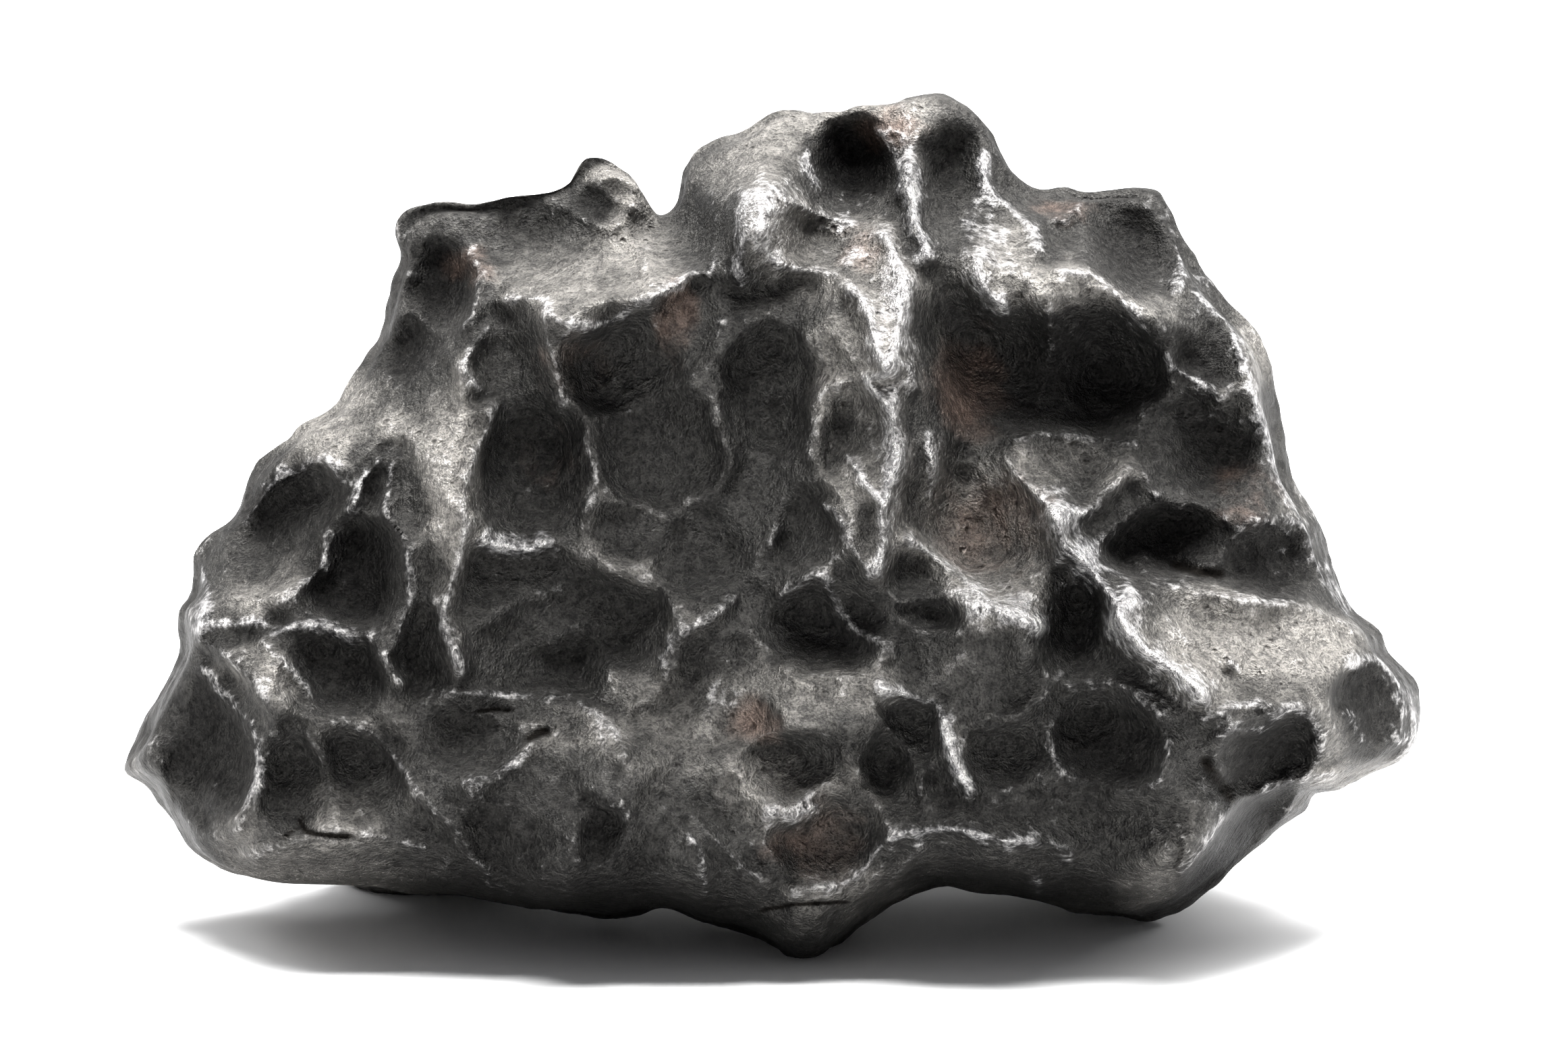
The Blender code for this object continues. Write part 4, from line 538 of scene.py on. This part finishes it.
# how each corner hangs together with its neighbours
ends = np.empty(len(stone.data.edges) * 2, dtype=np.int32)
stone.data.edges.foreach_get("vertices", ends)
ends = ends.reshape(-1, 2)
links = np.bincount(ends.ravel(), minlength=count)


def spread(values, times):
    """each corner's values averaged with its neighbours', several times over"""
    for turn in range(times):
        total = np.column_stack([
            np.bincount(ends[:, 0], values[ends[:, 1], axis], count)
            + np.bincount(ends[:, 1], values[ends[:, 0], axis], count)
            for axis in range(values.shape[1])
        ])
        values = 0.3 * values + 0.7 * total / links[:, None]
    return values


# hollows over the sides, back and underside, where the front relief fades out
ways = spread(put(place), 12)
ways /= np.linalg.norm(ways, axis=1)[:, None]
dice = np.random.default_rng(11)
starts = []
for toss in range(3000):
    pick = np.argmax(ball @ dice.normal(size=3))
    if facing[pick] < 0.3 and all(np.linalg.norm(place[pick] - place[other]) > CELL_GAP * MM for other in starts):
        starts.append(pick)
    if len(starts) == BACK_CELLS:
        break
cells = np.full(count, np.exp(-0.3 / CREST_SOFTNESS))
for start in starts:
    size = dice.uniform(10, 17)
    depth = size * dice.uniform(0.2, 0.4)
    middle = place[start] + ways[start] * dice.uniform(0, 2) * MM
    oval = ((place - middle) ** 2).sum(axis=1) / (size * MM) ** 2
    cells += np.exp(-np.minimum(depth * (oval - 1), 20) / CREST_SOFTNESS)
cells = -CREST_SOFTNESS * np.log(cells)
swell = np.zeros(count)
for wave in range(12):
    run = dice.normal(size=3)
    run *= 2 * np.pi / (dice.uniform(35, 90) * MM * np.linalg.norm(run))
    swell += 0.9 * np.sin(place @ run + dice.uniform(0, 6.28))
away = 1 - smooth(facing, 0.04, 0.3)
off_rim = smooth(abs(facing), 0, 0.32)
skin = 0.5 * swirl(place / MM, 8.0, 3, 10) + 0.15 * swirl(place / MM, 2.6, 2, 11)
place += ways * ((cells * (0.1 + 0.9 * off_rim) + swell * off_rim + skin) * away * MM)[:, None]

# the stone set down on three worn feet
place[:, 2] -= GROUND * MM
underside = smooth(-ways[:, 2], -0.2, 0.4) * (1 - smooth(place[:, 2], 8 * MM, 22 * MM))
place[:, 2] += ARCH * MM * underside * smooth(place[:, 1], -4 * MM, 26 * MM)
for foot_across, foot_back, foot_radius, drop in FEET:
    gap = np.hypot(place[:, 0] - foot_across * MM, place[:, 1] - foot_back * MM)
    place[:, 2] -= drop * MM * underside * np.exp(-(gap / (foot_radius * MM)) ** 2)
place[:, 2] = np.maximum(place[:, 2], 0)
middle = (place.max(axis=0) + place.min(axis=0)) / 2
place[:, :2] -= middle[:2]

# how far each spot stands above or below its surroundings, near and wide
ways = put(place)
near_mean = spread(place, 4)
wide_mean = spread(near_mean, 60)
sharp = ((place - near_mean) * ways).sum(axis=1) / MM
stands = ((near_mean - wide_mean) * spread(ways, 6)).sum(axis=1) / MM


def keep(name, values):
    """stores one number per corner of the stone for the material"""
    layer = stone.data.attributes.new(name, "FLOAT", "POINT")
    layer.data.foreach_set("value", values.astype(np.float32))


SHARPEST = 0.12          # mm above the near surroundings that counts as a full crest
PROUDEST = 1.2           # mm above the wide surroundings that counts as fully standing out
keep("crest", np.clip(sharp / SHARPEST, -1, 1))
keep("stands", np.clip(stands / PROUDEST, -1, 1))
keep("crack", crack)
# the pale patches hold painted light and the sooty ones painted shade, as well as real crust
for name, patches in [("pale", PALE_AND_PAINTED_LIGHT_PATCHES), ("polish", POLISHED), ("rust", RUSTED), ("soot_and_painted_shade", SOOT_AND_PAINTED_SHADE_PATCHES)]:
    # the back has no patches of its own, only a little of each all over
    amount = np.full(count, 0.35 if name == "pale" else 0.1)
    amount[facing > 0] = 0
    for middle_u, middle_w, half_u, half_w, turn, strength in patches:
        oval = turned(bent_u, bent_w, middle_u, middle_w, half_u, half_w, turn)
        amount = np.maximum(amount, strength * np.exp(-0.7 * oval ** 1.5) * (facing > 0))
    keep(name, np.maximum(amount, rubbed) if name == "polish" else amount)

faces = len(stone.data.polygons)
if faces > MOST_TRIANGLES:
    thinning = stone.modifiers.new("fewer triangles", "DECIMATE")
    thinning.ratio = MOST_TRIANGLES / faces
    bpy.ops.object.modifier_apply(modifier=thinning.name)
bpy.ops.object.shade_smooth()


class Shade:
    """a socket of the shader that can stand in sums"""

    tree = None

    def __init__(self, socket):
        self.socket = socket

    @staticmethod
    def add(kind, settings, feeds, give=0):
        node = Shade.tree.nodes.new(kind)
        for name, value in settings.items():
            setattr(node, name, value)
        for name, value in feeds.items():
            if isinstance(value, Shade):
                Shade.tree.links.new(value.socket, node.inputs[name])
            else:
                node.inputs[name].default_value = value
        return Shade(node.outputs[give])

    def sum(self, operation, first, second):
        return Shade.add("ShaderNodeMath", {"operation": operation}, {0: first, 1: second})

    def __add__(self, other):
        return self.sum("ADD", self, other)

    __radd__ = __add__

    def __mul__(self, other):
        return self.sum("MULTIPLY", self, other)

    __rmul__ = __mul__

    def __sub__(self, other):
        return self.sum("SUBTRACT", self, other)

    def __rsub__(self, other):
        return self.sum("SUBTRACT", other, self)


iron = bpy.data.materials.new("dark iron")
iron.use_nodes = True
Shade.tree = iron.node_tree
finish = iron.node_tree.nodes["Principled BSDF"]
spot = Shade.add("ShaderNodeTexCoord", {}, {}, "Object")

# what the iron shows, from the deepest crust to the brightest rubbed metal, with painted shade and painted light
# mixed into some of it
CRACK_BLACK = (0.01, 0.009, 0.008, 1)
# black crust colour, also used as painted shade in shaded hollows and under overhangs
SOOT_AND_PAINTED_SHADE_BLACK = (0.018, 0.0175, 0.017, 1)
PIT_BROWN = (0.03, 0.027, 0.025, 1)
DARK_CRUST = (0.040, 0.039, 0.0375, 1)
RUST_BROWN = (0.135, 0.094, 0.077, 1)
# pale crust colour, which also stands in for painted light on lit slopes and the underside
PALE_AND_PAINTED_LIGHT_COLOUR = (0.165, 0.158, 0.148, 1)
BARE_EDGE = (0.42, 0.41, 0.395, 1)
POLISHED_METAL = (0.42, 0.415, 0.42, 1)
DARK_GRIT = (0.56, 0.56, 0.57, 1)
LIGHT_GRIT = (1.5, 1.49, 1.46, 1)


def stored(name):
    return Shade.add("ShaderNodeAttribute", {"attribute_name": name}, {}, "Fac")


def speckle(scale, detail, rough):
    """random spots, from about -0.5 to 0.5"""
    return Shade.add("ShaderNodeTexNoise", {}, {"Vector": spot, "Scale": scale, "Detail": detail,
                                               "Roughness": rough}, "Fac") - 0.5


def step(value, low, high):
    """0 below the low value, 1 above the high one"""
    return Shade.add("ShaderNodeMapRange", {"interpolation_type": "SMOOTHSTEP"},
                     {"Value": value, "From Min": low, "From Max": high}, "Result")


def mix(share, first, second, blend="MIX"):
    return Shade.add("ShaderNodeMix", {"data_type": "RGBA", "blend_type": blend},
                     {"Factor": share, 6: first, 7: second}, 2)


crest, stands, crack = stored("crest"), stored("stands"), stored("crack")
pale, polish, rust, soot_and_painted_shade = stored("pale"), stored("polish"), stored("rust"), stored("soot_and_painted_shade")
patches = speckle(30.0, 3.0, 0.55)
blotches = speckle(150.0, 6.0, 0.6)
grain = speckle(700.0, 5.0, 0.65)
fine = speckle(2600.0, 3.0, 0.6)
pits = Shade.add("ShaderNodeTexVoronoi", {}, {"Vector": spot, "Scale": 420.0, "Randomness": 1.0}, "Distance")

# each finish stops at a ragged edge: its own strength is broken up by the spots
pitted = step(0.16 + blotches * 0.9 - pits, -0.05, 0.2) * step(pale, 0.2, 0.8)
# black crust and painted shade: shaded hollows and bands under overhangs are painted near black
soot_and_shade_mask = step(soot_and_painted_shade + blotches * 0.8, 0.35, 1.1)
# pale crust and painted light: lit slopes, proud spots and the underside are painted lighter
pale_and_painted_light = step(pale - soot_and_painted_shade * 0.9 + stands * 0.35 + blotches * 1.5 + patches * 1.1, 0.1, 1.2)
rusty = step(rust + blotches * 1.4, 0.3, 1.1)
shiny = step(polish * 0.9 + blotches * 1.9 + grain * 2.4 + crest * 0.35, 0.45, 1.7)
worn = step(crest * 0.8 + blotches * 1.8 + grain * 2.2 + polish * 0.6, 0.9, 2.6)
gritty = step(grain * 0.5 + fine * 0.5, -0.12, 0.12)

# painted shade: the sooty patches darken hollows and bands that lie in shadow
colour = mix(soot_and_shade_mask, DARK_CRUST, SOOT_AND_PAINTED_SHADE_BLACK)
# painted light: the pale patches lighten lit slopes and the underside
colour = mix(pale_and_painted_light, colour, PALE_AND_PAINTED_LIGHT_COLOUR)
colour = mix(rusty * 0.7, colour, RUST_BROWN)
colour = mix(shiny * 0.85, colour, POLISHED_METAL)
colour = mix(worn, colour, BARE_EDGE)
colour = mix(pitted * 0.5, colour, PIT_BROWN)
colour = mix(step(crack, 0.2, 0.9), colour, CRACK_BLACK)
colour = mix(1.0, colour, mix(gritty, DARK_GRIT, LIGHT_GRIT), "MULTIPLY")
iron.node_tree.links.new(colour.socket, finish.inputs["Base Color"])
roughness = 0.43 + blotches * 0.25 + fine * 0.25 - shiny * 0.17 + pitted * 0.2
iron.node_tree.links.new(roughness.socket, finish.inputs["Roughness"])
finish.inputs["Metallic"].default_value = 1.0
finish.inputs["Specular Tint"].default_value = (0.55, 0.55, 0.55, 1)
bumps = Shade.add("ShaderNodeBump", {}, {"Strength": 1.0, "Distance": 0.0012,
                                        "Height": fine * 0.35 + grain * 0.9 - pitted * 0.8}, "Normal")
iron.node_tree.links.new(bumps.socket, finish.inputs["Normal"])
stone.data.materials.clear()
stone.data.materials.append(iron)

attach(stone, "root")
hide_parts("meteorite")

# ---------------------------------------------------------------------------
# The floor: a wide pale sheet that the stone stands on.
# ---------------------------------------------------------------------------
bpy.ops.object.select_all(action="DESELECT")
bpy.ops.mesh.primitive_plane_add(size=14.0, location=(0, 0, 0))
floor = bpy.context.object
floor.name = "floor"
paper = bpy.data.materials.new("pale floor")
paper.use_nodes = True
paper.node_tree.nodes["Principled BSDF"].inputs["Base Color"].default_value = (0.9, 0.9, 0.9, 1)
paper.node_tree.nodes["Principled BSDF"].inputs["Roughness"].default_value = 0.9
paper.node_tree.nodes["Principled BSDF"].inputs["Specular IOR Level"].default_value = 0.1
floor.data.materials.append(paper)

# ---------------------------------------------------------------------------
# Soft light: a wide box overhead and a little behind, a narrow one overhead
# and in front, a tall dim one to each side, a low one behind, and grey walls.
# ---------------------------------------------------------------------------
LIGHTS = [
    # name, place, aimed at, width, height, watts
    ("overhead", (0.1, 0.5, 1.4), (0, 0, 0.05), 1.6, 0.9, 95.0),
    ("overhead front", (0.0, -0.25, 1.45), (0, 0, 0.05), 1.0, 0.35, 34.0),
    ("right", (1.05, 0.55, 1.05), (0, 0, 0.07), 0.6, 1.0, 24.0),
    ("back", (0, 1.8, 0.6), (0, 0, 0.06), 2.6, 0.8, 10.0),
    ("left", (-1.05, 0.65, 1.1), (0, 0, 0.07), 0.6, 1.0, 13.0),
]
for name, spot_at, aim, width, height, watts in LIGHTS:
    bpy.ops.object.light_add(type="AREA", location=spot_at)
    lamp = bpy.context.object
    lamp.name = name
    lamp.data.shape = "RECTANGLE"
    lamp.data.size = width
    lamp.data.size_y = height
    lamp.data.energy = watts
    way = np.array(aim) - np.array(spot_at)
    lamp.rotation_mode = "QUATERNION"
    lamp.rotation_quaternion = Vector(way).to_track_quat("-Z", "Y")
    lamp.visible_camera = False

room = bpy.data.worlds.new("studio")
room.use_nodes = True
room.node_tree.nodes["Background"].inputs["Color"].default_value = (0.33, 0.33, 0.34, 1)
room.node_tree.nodes["Background"].inputs["Strength"].default_value = 1.0
bpy.context.scene.world = room

# ---------------------------------------------------------------------------
# The camera: low, straight on, from well back.
# ---------------------------------------------------------------------------
VIEW_WIDTH = 0.24096     # metres across the frame at the stone
STAND_OFF = 2.5          # metres from the stone
AIM = (2.0, 65.67)       # across and up the tipped front plane, mm
target = np.array([AIM[0] * MM - middle[0], AIM[1] * MM * np.sin(tip) - middle[1],
                   AIM[1] * MM * np.cos(tip) - GROUND * MM])
eye = target - STAND_OFF * np.array([0, np.cos(tip), -np.sin(tip)])
bpy.ops.object.camera_add(location=tuple(eye), rotation=(np.pi / 2 - tip, 0, 0))
camera = bpy.context.object
camera.name = "camera"
camera.data.sensor_width = 36.0
camera.data.lens = 36.0 * STAND_OFF / VIEW_WIDTH
camera.data.clip_end = 50.0
bpy.context.scene.camera = camera
bpy.context.scene.view_settings.view_transform = "Standard"
